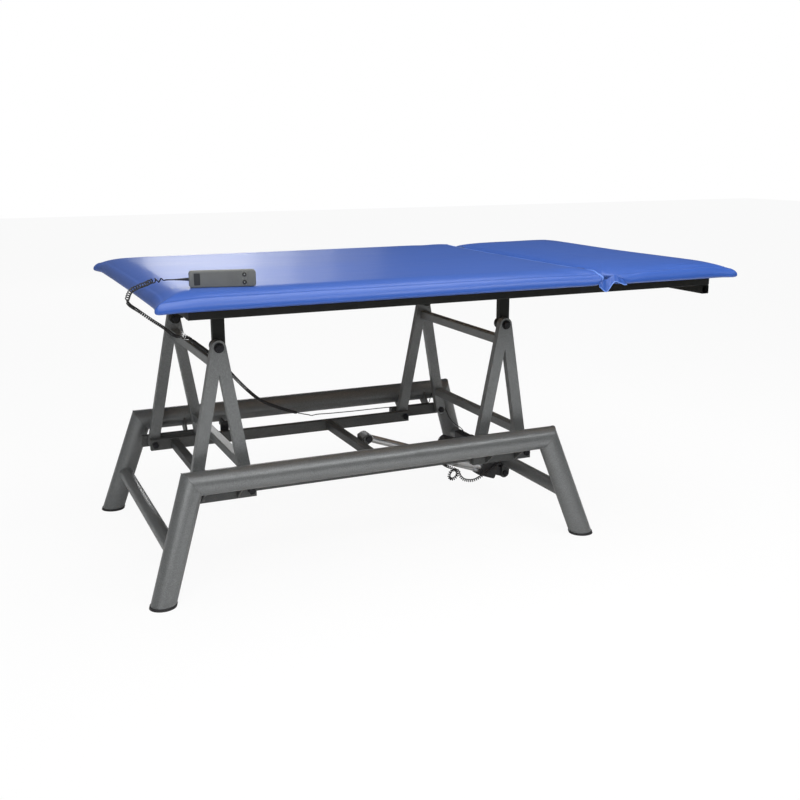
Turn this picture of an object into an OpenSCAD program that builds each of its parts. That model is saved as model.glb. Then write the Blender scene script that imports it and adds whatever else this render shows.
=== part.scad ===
// Height-adjustable two-section treatment table on a tubular base.
// Millimetres. X runs along the bed, the head section is at +X, Z is up.
// The drawing places are counted from the middle of the base on the floor;
// seat() moves them so that the origin is under the middle of the whole table.

/* [Base] */
// Outer diameter of the side tubes and the legs
base_tube_d = 76; // [60:1:90]
// Wall of the side tubes and the legs
base_tube_wall = 3; // [2:0.5:5]
// Height of the side tubes' axis
base_tube_z = 352; // [330:1:380]
// Distance of each side tube's axis from the middle
base_tube_y = 423; // [410:1:450]
// Distance of the bends, where the legs start, from the middle
bend_x = 628; // [600:1:680]
// How far each leg runs out along the table
leg_splay_x = 117; // [60:1:160]
// How far each leg runs out sideways
leg_splay_y = 57; // [20:1:80]
// Thickness of the plastic foot caps
foot_cap_t = 8; // [4:1:14]
// How far a foot cap stands out round its leg
foot_cap_rim = 2; // [1:0.5:4]
// Outer diameter of the two lower cross tubes
cross_tube_d = 48; // [38:1:60]
// Height of the lower cross tubes' axis
cross_tube_z = 149; // [130:1:180]

/* [Lift frames] */
// Place of the left lift frame's fixed pivot along the table
pivot_x = -427; // [-450:1:-400]
// Distance between the two lift frames
frame_pitch = 1005; // [960:1:1050]
// Height of the fixed pivots
pivot_z = 288; // [280:1:295]
// How far the tie pivot lies left of the fixed pivot
tie_reach = 176; // [150:1:190]
// How far the tie pivot lies below the fixed pivot
tie_drop = 3; // [0:1:12]
// How far the apex pivot lies left of the fixed pivot
apex_lean = 77; // [50:1:100]
// Height of the apex pivot above the fixed pivot
apex_rise = 460; // [420:1:500]
// Width of the frame's legs in the side view
frame_leg_w = 38; // [32:1:44]
// Thickness of the frame's legs across the table
frame_leg_t = 25; // [20:1:27]
// Inner face of the lift frames, from the middle
frame_y = 315; // [305:1:320]
// Half the distance between the two legs' lines at the apex
apex_spread = 4; // [2:1:8]
// Section of the frames' upper and lower cross tubes
frame_cross_s = 30; // [24:1:32]
// How far the upper cross tube lies below the apex pivot
upper_cross_drop = 58; // [55:1:75]
// How far the lower cross tube lies above the fixed pivot
lower_cross_rise = 78; // [70:1:110]
// Wall of all tubes but the base's side tubes and legs
small_wall = 2.5; // [1.5:0.5:3]

/* [Pivot rails and tie frame] */
// Height of the pivot rails and the tie bars
rail_h = 42; // [36:1:46]
// Thickness of the pivot rails
rail_t = 24; // [18:1:28]
// How far a pivot rail runs left of its pivot
rail_back = 212; // [190:1:230]
// How far a rail or bar runs past its pin
bar_end = 16; // [14:1:24]
// Thickness of the tie bars
tie_t = 23; // [18:1:26]
// Running gap between neighbours side by side on a pivot
side_gap = 4; // [3:0.5:6]
// Place of the tie frame's left cross beam
left_beam_x = -532; // [-560:1:-500]
// Place of the tie frame's right cross beam
right_beam_x = 76; // [40:1:120]
// Section of the tie frame's cross beams
beam_s = 30; // [24:1:40]

/* [Pivot bolts] */
// Shank diameter of the pivot bolts
bolt_d = 16; // [12:1:18]
// Wall of the bushes pressed into the lift frames
bush_wall = 2; // [1:0.5:3]
// Running clearance of a bolt in its bush, on the radius
run_gap = 0.05; // [0.02:0.01:0.1]
// Width across corners of a bolt head
bolt_head_d = 24; // [20:1:28]
// Height of a bolt head
bolt_head_h = 9; // [5:0.5:10]
// Diameter of the washer under a bolt head
washer_d = 32; // [28:1:34]
// Thickness of that washer
washer_t = 3; // [2:0.5:3.5]

/* [Bed frame] */
// How far the long rails' outer faces lie inside the pads' sides
rail_side_inset = 95; // [70:1:130]
// Width of the long rails
bed_rail_w = 40; // [30:1:50]
// Height of the long rails
bed_rail_h = 35; // [30:1:40]
// How far the long rails' left ends lie inside the pads' left end
rail_left_inset = 104; // [80:1:130]
// How far the long rails' right ends lie inside the pads' right end
rail_right_inset = 38; // [28:1:68]
// How far the inner cross rails' top lies below the long rails' top
cross_rail_drop = 8; // [6:0.5:12]
// Width of the posts in the side view
post_w = 38; // [34:1:42]
// How far the posts' middle stands right of their pivots
post_offset = 9; // [0:1:10]
// Height of the bed rails' underside above the apex pivots
post_rise = 116; // [105:1:125]
// Section of the tube under the rails' right end
end_tube_s = 30; // [24:1:34]
// How far the cross rail with the hinges lies left of the gap between the pads
hinge_rail_back = 50; // [46:1:80]

/* [Upholstery] */
// Length of the two pads together
pad_l = 2000; // [1900:1:2060]
// Width of the pads
pad_w = 1200; // [1150:1:1260]
// Length of the head pad
head_pad_l = 535; // [500:1:560]
// Left end of the main pad
pad_left = -732; // [-760:1:-700]
// Thickness of the main pad in the middle
pad_t = 53; // [45:1:65]
// How much higher the head pad is crowned
head_crown = 6; // [0:1:12]
// Gap between the two pads
pad_gap = 6; // [4:0.5:10]
// Corner radius of the pads' outer ends in plan
pad_corner_r = 18; // [12:1:46]
// Corner radius of the main pad at the hinges
main_hinge_corner_r = 14; // [8:1:30]
// Corner radius of the head pad at the hinges
head_hinge_corner_r = 80; // [50:1:100]
// How far the pads' sides are drawn in between the corners
pad_draw = 5; // [0:1:10]
// Thickness of the boards under the upholstery
board_t = 15; // [10:1:20]
// How far the boards lie inside the pads' outline
board_inset = 28; // [20:1:40]

/* [Head hinges] */
// How far the middle of each head hinge lies inside the long rails' inner faces
hinge_inset = 25; // [20:1:60]
// Width of a hinge leaf across the table
hinge_w = 34; // [24:1:40]
// Diameter of the hinge knuckles
knuckle_d = 14; // [12:0.5:15]
// Diameter of the hinge pins
hinge_pin_d = 6; // [4:0.5:7]
// Thickness of the hinge leaves
leaf_t = 4; // [3:0.5:5]
// Height of the hinge axis above the pads' underside
hinge_rise = 36; // [32:1:40]
// How far the pads are cut back at the underside, below the hinge axis
undercut = 30; // [26:1:36]

/* [Actuator] */
// Place of the rear pivot along the table
rear_x = 690; // [680:1:700]
// Height of the rear pivot
rear_z = 98; // [94:1:102]
// How far the front pivot lies right of the right cross beam
ear_reach = 36; // [34:1:40]
// How far the front pivot lies above the tie pivots
ear_rise = 20; // [16:1:24]
// Diameter of the push rod
rod_d = 28; // [24:1:30]
// Outer diameter of the guide tube
guide_d = 54; // [52:1:60]
// Wall of the guide tube
guide_wall = 3; // [2:0.5:3.5]
// Length of rod that shows with the table raised
rod_out = 212; // [190:1:220]
// Diameter of the motor
motor_d = 66; // [56:1:70]
// Length of the motor in front of the gear housing
motor_l = 150; // [130:1:170]

/* [Handset] */
// Length of the handset
handset_l = 190; // [170:1:210]
// Height of the handset as it stands on its edge
handset_h = 48; // [42:1:56]
// Thickness of the handset
handset_t = 27; // [22:1:32]
// Travel of a button
button_travel = 1; // [0.6:0.1:1.2]
// Diameter of a button
button_d = 13; // [10:0.5:14]

/* [Cords] */
// Diameter of the handset lead
lead_d = 4; // [3:0.5:5]
// Outer diameter of the curly cord
curl_d = 13; // [11:0.5:15]
// Diameter of the motor lead
motor_lead_d = 5; // [4:0.5:6]

/* [Hidden] */

$fn = 64;
// Overrun of every cut
over = 5;
// Larger than the whole table, for cuts by a plane
huge = 4000;
// Gap between pieces that move past each other or lie loosely
fit_gap = 0.3;
// Gap of a pressed or slipped fit, on the radius
slip = 0.02;

// Finishes
frame_grey = "#5f6264";
dark_grey = "#414244";
bed_black = "#252527";
plastic_black = "#161617";
silver = "#c9cbcc";
vinyl_blue = "#3454b0";
board_brown = "#8a6b46";
handset_grey = "#5c605f";

// Corner radius of the rectangular tubes
tube_corner = 3;

// Legs, lower cross tubes and feet
foot_cap_r = base_tube_d / 2 + foot_cap_rim;
foot_plug_h = 24;
cross_tube_wall = 2.5;
cross_share = (base_tube_z - cross_tube_z) / base_tube_z;
cross_tube_x = bend_x + leg_splay_x * cross_share;
cross_tube_y = base_tube_y + leg_splay_y * cross_share;

// Layers across the table, from the middle outwards
frame_out = frame_y + frame_leg_t;
tie_out = frame_y - side_gap;
tie_in = tie_out - tie_t;
rail_in = frame_out + side_gap;
rail_out = rail_in + rail_t;
rail_top = pivot_z + rail_h / 2;
rail_low = pivot_z - rail_h / 2;
tie_z = pivot_z - tie_drop;

// Fittings under the side tubes
hanger_t = 6;
hanger_left = 160;
hanger_right = 45;
cord_way = 10;
lug_right = 98;
lug_x = pivot_x + lug_right;
lug_w = 32;
lug_h = 40;
lug_drop = 39;
lug_z = base_tube_z - lug_drop;
lug_t = 5;
lug_bolt_d = 10;
clip_back = 56;
clip_x = bend_x - clip_back;
clip_drop = 14;
clip_z = base_tube_z - clip_drop;
clip_s = 12;

// Pivots and bushes
apex_r = frame_leg_w / 2 + apex_spread;
bush_r = bolt_d / 2 + run_gap + bush_wall;
flange_lip = 4;
flange_r = bush_r + flange_lip;
crotch_drop = 98;
eye_solid = 32;

// Bed
bed_low = pivot_z + apex_rise + post_rise;
pad_z = bed_low + bed_rail_h;
cross_rail_w = 30;
cross_rail_h = bed_rail_h - cross_rail_drop;
pad_right = pad_left + pad_l;
bed_rail_left = pad_left + rail_left_inset;
bed_rail_right = pad_right - rail_right_inset;
bed_rail_y = pad_w / 2 - rail_side_inset;
hinge_x = pad_right - head_pad_l - pad_gap / 2;
hinge_y = bed_rail_y - bed_rail_w - hinge_inset;
hinge_z = pad_z + hinge_rise;
knuckle_gap = 1.5;

// Actuator
pin_d = 16;
pin_head_d = 24;
pin_head_h = 6;
ear_t = 6;
ear_gap = 50;
ear_r = 16;
eye_r = 19;
front_x = right_beam_x + ear_reach;
front_z = tie_z + ear_rise;
actuator_l = norm([rear_x - front_x, front_z - rear_z]);
actuator_lean = atan2(front_z - rear_z, rear_x - front_x);
collar_s = actuator_l - eye_r - rod_out;
collar_l = 24;
collar_lip = 8;
collar_wall = 3;
rod_play = 8.5;
rod_hidden = 100;
housing_s0 = 42;
housing_s1 = 110;
housing_r = 34;
rear_eye_r = 20;
motor_y = 75;
motor_lift = 40;
motor_cap_l = 12;
motor_edge = 5;
gland_r = 5;
gland_l = 12;
gland_s = 240;

// Control box
box_t = 36;
box_l = 130;
box_h = 90;
box_y = 235;
box_edge = 6;
clamp_w = 14;
clamp_t = 4;
clamp_pitch = 70;
inlet_w = 28;
inlet_h = 22;
inlet_l = 14;
inlet_rim = 3;
inlet_depth = 10;
inlet_pin = 2;

// Handset
handset_in = 214;
handset_side = 122;
handset_x = pad_left + handset_in;
handset_y = handset_side - pad_w / 2;
handset_turn = -12;
handset_edge = 9;
window_x = -72;
window_w = 17;
window_h = 32;
window_t = 1;
button_x = 62;
button_pitch = 22;
button_out = 2.5;
button_in = 6;
button_gap = 0.15;
relief_l = 38;
relief_r = 4.5;
lead_run = 84;

// Origin: under the middle of the whole table, from the left feet to the right end
foot_reach = bend_x + leg_splay_x + foot_cap_r * norm([1, leg_splay_x / base_tube_z]);
origin_x = (pad_right - foot_reach) / 2;
module seat() { translate([-origin_x, 0, 0]) children(); }

// Basic shapes
function unit(v) = v / norm(v);

// A rectangle with rounded corners, centred
module round_rect(w, h, r) {
    square([w - 2 * r, h], center = true);
    square([w, h - 2 * r], center = true);
    for (sx = [-1, 1], sy = [-1, 1])
        translate([sx * (w / 2 - r), sy * (h / 2 - r)]) circle(r);
}

// Turns the Z axis to a direction
module turn_to(v) {
    rotate([0, acos(v[2] / norm(v)), atan2(v[1], v[0])]) children();
}

// A cylinder from a point along a vector, run past both ends
module rod_along(from, v, r, past = 0) {
    translate(from) turn_to(v) translate([0, 0, -past]) cylinder(h = norm(v) + 2 * past, r = r);
}

// Everything on the side of a plane that its normal points to
module half_space(point, normal) {
    translate(point) turn_to(normal) translate([-huge / 2, -huge / 2, 0]) cube(huge);
}

// A cylinder across the table
module across(p, r, y0, y1) {
    translate([p[0], max(y0, y1), p[1]]) rotate([90, 0, 0]) cylinder(h = abs(y1 - y0), r = r);
}

// A hexagon head across the table
module hex_across(p, d, y0, y1) {
    translate([p[0], max(y0, y1), p[1]]) rotate([90, 0, 0]) cylinder(h = abs(y1 - y0), r = d / 2, $fn = 6);
}

// A flat shape of the side view, X and Z, given its thickness across the table
module side_plate(y0, y1) {
    translate([0, max(y0, y1), 0]) rotate([90, 0, 0]) linear_extrude(abs(y1 - y0)) children();
}

// A bar of the side view from p to q, shortened at both ends
module bar_2d(p, q, w, from = 0, to = 0) {
    translate(p) rotate(atan2(q[1] - p[1], q[0] - p[0]))
        translate([from, -w / 2]) square([norm(q - p) - from - to, w]);
}

// A rectangular tube across the table, open at its ends
module tube_across(x, z, w, h, y0, y1) {
    translate([x, y1, z]) rotate([90, 0, 0]) linear_extrude(y1 - y0) difference() {
        round_rect(w, h, tube_corner);
        square([w - 2 * small_wall, h - 2 * small_wall], center = true);
    }
}

// A rectangular tube along the table with welded end plates
module tube_along(x0, x1, y, z, w, h) {
    difference() {
        translate([x0, y, z]) rotate([90, 0, 90]) linear_extrude(x1 - x0) round_rect(w, h, tube_corner);
        translate([x0 + small_wall, y - w / 2 + small_wall, z - h / 2 + small_wall])
            cube([x1 - x0 - 2 * small_wall, w - 2 * small_wall, h - 2 * small_wall]);
    }
}

// Base
function bend_at(end, side) = [end * bend_x, side * base_tube_y, base_tube_z];
function leg_run(end, side) = [end * leg_splay_x, side * leg_splay_y, -base_tube_z];
// Normal of the mitre at a bend, towards the side tube
function mitre(end, side) = [-end, 0, 0] - unit(leg_run(end, side));

module side_tube(side) {
    from = bend_at(-1, side);
    run = bend_at(1, side) - from;
    color(frame_grey) difference() {
        rod_along(from, run, base_tube_d / 2, base_tube_d);
        rod_along(from, run, base_tube_d / 2 - base_tube_wall, base_tube_d + over);
        for (end = [-1, 1]) half_space(bend_at(end, side), -mitre(end, side));
    }
}

module leg(end, side) {
    from = bend_at(end, side);
    run = leg_run(end, side);
    color(frame_grey) difference() {
        rod_along(from, run, base_tube_d / 2, base_tube_d);
        rod_along(from, run, base_tube_d / 2 - base_tube_wall, base_tube_d + over);
        half_space(from, mitre(end, side));
        half_space([0, 0, foot_cap_t], [0, 0, -1]);
    }
}

module foot_cap(end, side) {
    from = bend_at(end, side);
    run = leg_run(end, side);
    difference() {
        rod_along(from, run, foot_cap_r, base_tube_d);
        half_space([0, 0, foot_cap_t], [0, 0, 1]);
        half_space([0, 0, 0], [0, 0, -1]);
    }
    difference() {
        rod_along(from, run, base_tube_d / 2 - base_tube_wall - slip, base_tube_d);
        half_space([0, 0, foot_cap_t + foot_plug_h], [0, 0, 1]);
        half_space([0, 0, foot_cap_t / 2], [0, 0, -1]);
    }
}

module foot_caps() {
    color(plastic_black) for (end = [-1, 1], side = [-1, 1]) foot_cap(end, side);
}

module lower_cross_tube(end) {
    at = [end * cross_tube_x, cross_tube_z];
    color(frame_grey) difference() {
        across(at, cross_tube_d / 2, -cross_tube_y, cross_tube_y);
        across(at, cross_tube_d / 2 - cross_tube_wall, -cross_tube_y - over, cross_tube_y + over);
        for (side = [-1, 1])
            rod_along(bend_at(end, side), leg_run(end, side), base_tube_d / 2, base_tube_d);
    }
}

function fixed_pivot(f) = [pivot_x + f * frame_pitch, pivot_z];
function tie_pivot(f) = fixed_pivot(f) - [tie_reach, tie_drop];
function apex(f) = fixed_pivot(f) + [-apex_lean, apex_rise];

module pivot_rails() {
    color(dark_grey) for (f = [0, 1], side = [-1, 1]) {
        p = fixed_pivot(f);
        difference() {
            tube_along(p[0] - rail_back, p[0] + bar_end, side * (rail_in + rail_t / 2), p[1],
                rail_t, rail_h);
            across(p, bolt_d / 2 + slip, side * (rail_in - over), side * (rail_out + over));
        }
    }
}

// A plate square to the rail, between the rail and the side tube above it
module hanger(x, side) {
    difference() {
        translate([x - hanger_t / 2, 0, 0]) rotate([90, 0, 90]) linear_extrude(hanger_t) scale([side, 1])
            polygon([
                [rail_in + cord_way, rail_top],
                [rail_in + cord_way, rail_top + cord_way],
                [base_tube_y - base_tube_d / 2, base_tube_z],
                [base_tube_y, base_tube_z],
                [base_tube_y, base_tube_z - base_tube_d / 2],
                [rail_out, rail_low + tube_corner],
                [rail_out, rail_top]
            ]);
        translate([0, side * base_tube_y, base_tube_z]) rotate([0, 90, 0])
            cylinder(h = huge, r = base_tube_d / 2, center = true);
        translate([0, side * (rail_in + rail_t / 2), pivot_z]) rotate([90, 0, 90])
            linear_extrude(huge, center = true) round_rect(rail_t, rail_h, tube_corner);
    }
}

module rail_hangers() {
    color(dark_grey) for (f = [0, 1], side = [-1, 1], back = [hanger_left, hanger_right])
        hanger(fixed_pivot(f)[0] - back, side);
}

// A bolted lug on the far side tube, and the clip that holds the handset's lead
module cord_clips() {
    color(dark_grey) difference() {
        union() {
            translate([lug_x - lug_w / 2, rail_in, lug_z - lug_h / 2]) cube([lug_w, lug_t, lug_h]);
            translate([lug_x - lug_t / 2, rail_in, lug_z - lug_h / 4])
                cube([lug_t, base_tube_y - rail_in, lug_h * 3 / 4]);
            across([lug_x + lug_w / 4, lug_z], lug_bolt_d / 2, rail_in - lug_t, rail_in);
        }
        translate([0, base_tube_y, base_tube_z]) rotate([0, 90, 0])
            cylinder(h = huge, r = base_tube_d / 2, center = true);
    }
    wall_y = base_tube_y - base_tube_d / 2;
    color(plastic_black) difference() {
        translate([clip_x - clip_s / 2, wall_y - clip_s / 2, clip_z - clip_s / 2]) cube(clip_s);
        translate([0, base_tube_y, base_tube_z]) rotate([0, 90, 0])
            cylinder(h = huge, r = base_tube_d / 2, center = true);
        translate([clip_x, wall_y - fit_gap, clip_z]) rotate([0, 90, 0])
            cylinder(h = clip_s + 2 * over, r = lead_d / 2 + run_gap, center = true);
    }
}

module fixed_pivot_bolts() {
    color(plastic_black) for (f = [0, 1], side = [-1, 1]) {
        across(fixed_pivot(f), bolt_d / 2, side * frame_y, side * (rail_out + bolt_head_h / 2));
        hex_across(fixed_pivot(f), bolt_head_d, side * rail_out, side * (rail_out + bolt_head_h));
    }
}

// Lift frames
module frame_outline(f) {
    a = apex(f);
    bar_2d(a - [apex_spread, 0], tie_pivot(f), frame_leg_w);
    bar_2d(a + [apex_spread, 0], fixed_pivot(f), frame_leg_w);
    for (p = [tie_pivot(f), fixed_pivot(f)]) translate(p) circle(frame_leg_w / 2);
    translate(a) circle(apex_r);
}

// The hollow of the legs, between the welded web and the solid eyes
module frame_hollow(f) {
    a = apex(f);
    w = frame_leg_w - 2 * small_wall;
    bar_2d(a - [apex_spread, 0], tie_pivot(f), w, crotch_drop, eye_solid);
    bar_2d(a + [apex_spread, 0], fixed_pivot(f), w, crotch_drop, eye_solid);
}

module lift_frame(f, side) {
    color(frame_grey) difference() {
        side_plate(side * frame_y, side * frame_out) frame_outline(f);
        side_plate(side * (frame_y + small_wall), side * (frame_out - small_wall)) frame_hollow(f);
        for (p = [apex(f), fixed_pivot(f), tie_pivot(f)])
            across(p, bush_r + slip, side * (frame_y - over), side * (frame_out + over));
    }
}

module cross_tubes(f) {
    a = apex(f);
    p = fixed_pivot(f);
    share = (apex_rise - lower_cross_rise) / apex_rise;
    lower_x = a[0] + apex_spread + (p[0] - a[0] - apex_spread) * share;
    color(frame_grey) {
        tube_across(a[0], a[1] - upper_cross_drop, frame_cross_s, frame_cross_s, -frame_y, frame_y);
        tube_across(lower_x, p[1] + lower_cross_rise, frame_cross_s, frame_cross_s, -frame_y, frame_y);
    }
}

// A bush in the frame with a flange that fills the gap to its neighbour
module bush(p, side, flange_in) {
    y0 = flange_in ? frame_y - side_gap + fit_gap : frame_y;
    y1 = flange_in ? frame_out : frame_out + side_gap - fit_gap;
    flange_at = flange_in ? [y0, frame_y] : [frame_out, y1];
    difference() {
        union() {
            across(p, bush_r, side * y0, side * y1);
            across(p, flange_r, side * flange_at[0], side * flange_at[1]);
        }
        across(p, bolt_d / 2 + run_gap, side * (y0 - over), side * (y1 + over));
    }
}

module bushes(f) {
    color(silver) for (side = [-1, 1]) {
        bush(fixed_pivot(f), side, false);
        bush(tie_pivot(f), side, true);
        bush(apex(f), side, true);
    }
}

// Tie frame
module tie_bar(side) {
    y = side * (tie_in + tie_t / 2);
    color(dark_grey) difference() {
        tube_along(tie_pivot(0)[0] - bar_end, tie_pivot(1)[0] + bar_end, y, tie_z, tie_t, rail_h);
        for (f = [0, 1])
            across(tie_pivot(f), bolt_d / 2 + slip, side * (tie_in - over), side * (tie_out + over));
    }
}

module tie_beams() {
    color(dark_grey) for (x = [left_beam_x, right_beam_x])
        tube_across(x, tie_z, beam_s, beam_s, -tie_in, tie_in);
}

module tie_bolts() {
    color(plastic_black) for (f = [0, 1], side = [-1, 1]) {
        across(tie_pivot(f), bolt_d / 2, side * (tie_in - bolt_head_h / 2), side * frame_out);
        hex_across(tie_pivot(f), bolt_head_d, side * (tie_in - bolt_head_h), side * tie_in);
    }
}

module ear_outline() {
    face_x = right_beam_x + beam_s / 2;
    difference() {
        union() {
            bar_2d([right_beam_x, tie_z], [front_x, front_z], 2 * ear_r);
            translate([front_x, front_z]) circle(ear_r);
        }
        translate([face_x - huge, 0]) square([huge, huge]);
        translate([front_x, front_z]) circle(pin_d / 2 + slip);
    }
}

module actuator_ears() {
    color(dark_grey) for (side = [-1, 1])
        side_plate(side * ear_gap / 2, side * (ear_gap / 2 + ear_t)) ear_outline();
}

// A pin between two plates, with a head on each plate's outer face
module clevis_pin(p) {
    grip = ear_gap / 2 + ear_t;
    color(plastic_black) {
        across(p, pin_d / 2, -grip - pin_head_h / 2, grip + pin_head_h / 2);
        for (side = [-1, 1]) across(p, pin_head_d / 2, side * grip, side * (grip + pin_head_h));
    }
}

// Actuator, drawn along -X from its rear pivot, then leaned
module actuator_place() {
    translate([rear_x, 0, rear_z]) rotate([0, actuator_lean, 0]) children();
}

module barrel(s0, s1, r) {
    translate([-s1, 0, 0]) rotate([0, 90, 0]) cylinder(h = s1 - s0, r = r);
}

module push_rod() {
    eye_half = ear_gap / 2 - fit_gap;
    color(silver) actuator_place() difference() {
        union() {
            barrel(collar_s - rod_hidden, actuator_l, rod_d / 2);
            across([-actuator_l, 0], eye_r, -eye_half, eye_half);
        }
        across([-actuator_l, 0], pin_d / 2 + run_gap, -ear_gap, ear_gap);
    }
}

module guide_tube() {
    color(silver) actuator_place() difference() {
        barrel(housing_s1, collar_s - collar_lip, guide_d / 2);
        barrel(housing_s1 - over, collar_s + over, guide_d / 2 - guide_wall);
    }
}

module guide_collar() {
    color(plastic_black) actuator_place() difference() {
        barrel(collar_s - collar_l, collar_s, guide_d / 2 + collar_wall);
        barrel(collar_s - collar_l - over, collar_s - collar_lip, guide_d / 2 + slip);
        barrel(collar_s - collar_l - over, collar_s + over, rod_d / 2 + rod_play);
    }
}

module gear_housing() {
    neck = ear_gap / 2 - fit_gap;
    color(plastic_black) actuator_place() difference() {
        union() {
            translate([-(housing_s0 + housing_s1) / 2, 0, 0]) rotate([90, 0, 90])
                linear_extrude(housing_s1 - housing_s0, center = true) {
                    round_rect(2 * housing_r, 2 * housing_r, housing_r / 3);
                    translate([motor_y, motor_lift]) circle(motor_d / 2 + collar_wall);
                    bar_2d([0, 0], [motor_y, motor_lift], 2 * housing_r);
                }
            across([0, 0], rear_eye_r, -neck, neck);
            translate([-housing_s1 + over, -neck, -rear_eye_r + tube_corner])
                cube([housing_s1 - over, 2 * neck, 2 * (rear_eye_r - tube_corner)]);
        }
        across([0, 0], pin_d / 2 + run_gap, -ear_gap, ear_gap);
    }
}

module motor() {
    end = housing_s1 + motor_l;
    color(plastic_black) actuator_place() {
        translate([0, motor_y, motor_lift]) {
            barrel(housing_s1, end - motor_cap_l, motor_d / 2);
            translate([-end, 0, 0]) rotate([0, 90, 0]) rotate_extrude()
                polygon([
                    [0, 0],
                    [motor_d / 2 - motor_edge, 0],
                    [motor_d / 2, motor_edge],
                    [motor_d / 2, motor_cap_l],
                    [0, motor_cap_l]
                ]);
            translate([-gland_s, 0, -motor_d / 2 - gland_l])
                cylinder(h = motor_d / 2 + gland_l, r = gland_r);
        }
    }
}

module rear_bracket() {
    tube_at = [cross_tube_x, cross_tube_z];
    color(dark_grey) for (side = [-1, 1])
        side_plate(side * ear_gap / 2, side * (ear_gap / 2 + ear_t)) difference() {
            union() {
                bar_2d([rear_x, rear_z], tube_at, 2 * ear_r);
                translate([rear_x, rear_z]) circle(ear_r);
            }
            translate([rear_x, rear_z]) circle(pin_d / 2 + slip);
            translate(tube_at) circle(cross_tube_d / 2);
        }
}

// Control box, clamped to the right lower cross tube
box_right = cross_tube_x - cross_tube_d / 2 - fit_gap;

module control_box() {
    color(plastic_black) difference() {
        union() {
            translate([box_right - box_t / 2, box_y, cross_tube_z]) rotate([90, 0, 0])
                linear_extrude(box_l, center = true) round_rect(box_t, box_h, box_edge);
            for (side = [-1, 1]) {
                y = box_y + side * clamp_pitch / 2;
                across([cross_tube_x, cross_tube_z], cross_tube_d / 2 + clamp_t,
                    y - clamp_w / 2, y + clamp_w / 2);
            }
        }
        across([cross_tube_x, cross_tube_z], cross_tube_d / 2 + slip, -cross_tube_y, cross_tube_y);
    }
}

module mains_inlet() {
    depth_y = box_y + box_l / 2;
    color(plastic_black) translate([box_right - box_t / 2, depth_y, cross_tube_z]) difference() {
        rotate([-90, 0, 0]) linear_extrude(inlet_l) round_rect(inlet_w, inlet_h, inlet_rim);
        difference() {
            translate([0, inlet_l - inlet_depth, 0]) rotate([-90, 0, 0]) linear_extrude(inlet_l)
                round_rect(inlet_w - 2 * inlet_rim, inlet_h - 2 * inlet_rim, inlet_rim / 2);
            for (i = [-1, 0, 1])
                translate([i * inlet_w / 4 - inlet_pin / 2, 0, -inlet_pin])
                    cube([inlet_pin, inlet_l, 2 * inlet_pin]);
        }
    }
}

// Bed frame
module bed_rail(side) {
    y = side * (bed_rail_y - bed_rail_w / 2);
    color(bed_black)
        tube_along(bed_rail_left, bed_rail_right, y, bed_low + bed_rail_h / 2, bed_rail_w, bed_rail_h);
}

module bed_cross_rails() {
    inner = bed_rail_y - bed_rail_w;
    color(bed_black) {
        tube_across(bed_rail_left + cross_rail_w / 2, bed_low + bed_rail_h / 2, cross_rail_w, bed_rail_h,
            -inner, inner);
        for (x = [apex(0)[0], apex(1)[0], hinge_x - hinge_rail_back])
            tube_across(x, bed_low + cross_rail_h / 2, cross_rail_w, cross_rail_h, -inner, inner);
        tube_across(bed_rail_right - end_tube_s / 2, bed_low - end_tube_s / 2, end_tube_s, end_tube_s,
            -bed_rail_y, bed_rail_y);
    }
}

module posts() {
    color(bed_black) for (f = [0, 1], side = [-1, 1]) {
        a = apex(f);
        side_plate(side * tie_in, side * tie_out) difference() {
            union() {
                bar_2d(a + [post_offset, 0], a + [post_offset, post_rise], post_w);
                translate(a) circle(post_w / 2);
            }
            translate(a) circle(bolt_d / 2 + slip);
        }
    }
}

module apex_bolts() {
    color(plastic_black) for (f = [0, 1], side = [-1, 1]) {
        washer_y = frame_out + fit_gap;
        head_y = washer_y + washer_t;
        across(apex(f), bolt_d / 2, side * (tie_in - bolt_head_h / 2), side * (head_y + bolt_head_h / 2));
        across(apex(f), washer_d / 2, side * washer_y, side * head_y);
        hex_across(apex(f), bolt_head_d, side * head_y, side * (head_y + bolt_head_h));
        hex_across(apex(f), bolt_head_d, side * (tie_in - bolt_head_h), side * tie_in);
    }
}

// Upholstery: rings of points from the board's recess, over the edge, to the crown.
// Each row is the inset from the side, the inset at the hinge end and the height.
corner_steps = 5;
long_steps = 8;
short_steps = 5;
least_corner = 4;
// Shares of the thickness, the undercut and the hinge axis' height
low_shares = [[0.15, 1, 0], [0.04, 0.87, 0.11], [0, 0.6, 0.39], [0.06, 0.3, 0.67], [0.28, 0, 1]];
// Shares of the thickness twice, and of the height from the hinge axis to the top
high_shares = [[0.51, 0.06, 0.4], [0.75, 0.17, 0.65], [1.17, 0.32, 0.87], [1.7, 0.57, 1]];
// Shares of the width, the head pad's length and its crown
crown_shares = [[0.117, 0.13, 0.55], [0.167, 0.243, 1]];
recess_side = board_inset - fit_gap;
recess_end = undercut + leaf_t - fit_gap;
main_profile = concat(
    [[recess_side, recess_end, board_t], [recess_side, recess_end, 0]],
    [for (s = low_shares) [s[0] * pad_t, s[1] * undercut, s[2] * hinge_rise]],
    [for (s = high_shares) [s[0] * pad_t, s[1] * pad_t, hinge_rise + s[2] * (pad_t - hinge_rise)]]
);
head_profile = concat(
    main_profile,
    [for (s = crown_shares) [s[0] * pad_w, s[1] * head_pad_l, pad_t + s[2] * head_crown]]
);

function corner(cx, cy, r, a0, z) =
    [for (i = [0 : corner_steps]) let (a = a0 + 90 * i / corner_steps)
        [cx + r * cos(a), cy + r * sin(a), z]];
// The points of a side between its ends, drawn in by a parabola
function side_run(p, q, inward, steps, draw, z) =
    [for (i = [1 : steps - 1])
        let (t = i / steps, xy = p + (q - p) * t + inward * draw * (1 - pow(2 * t - 1, 2)))
        [xy[0], xy[1], z]];
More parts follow.
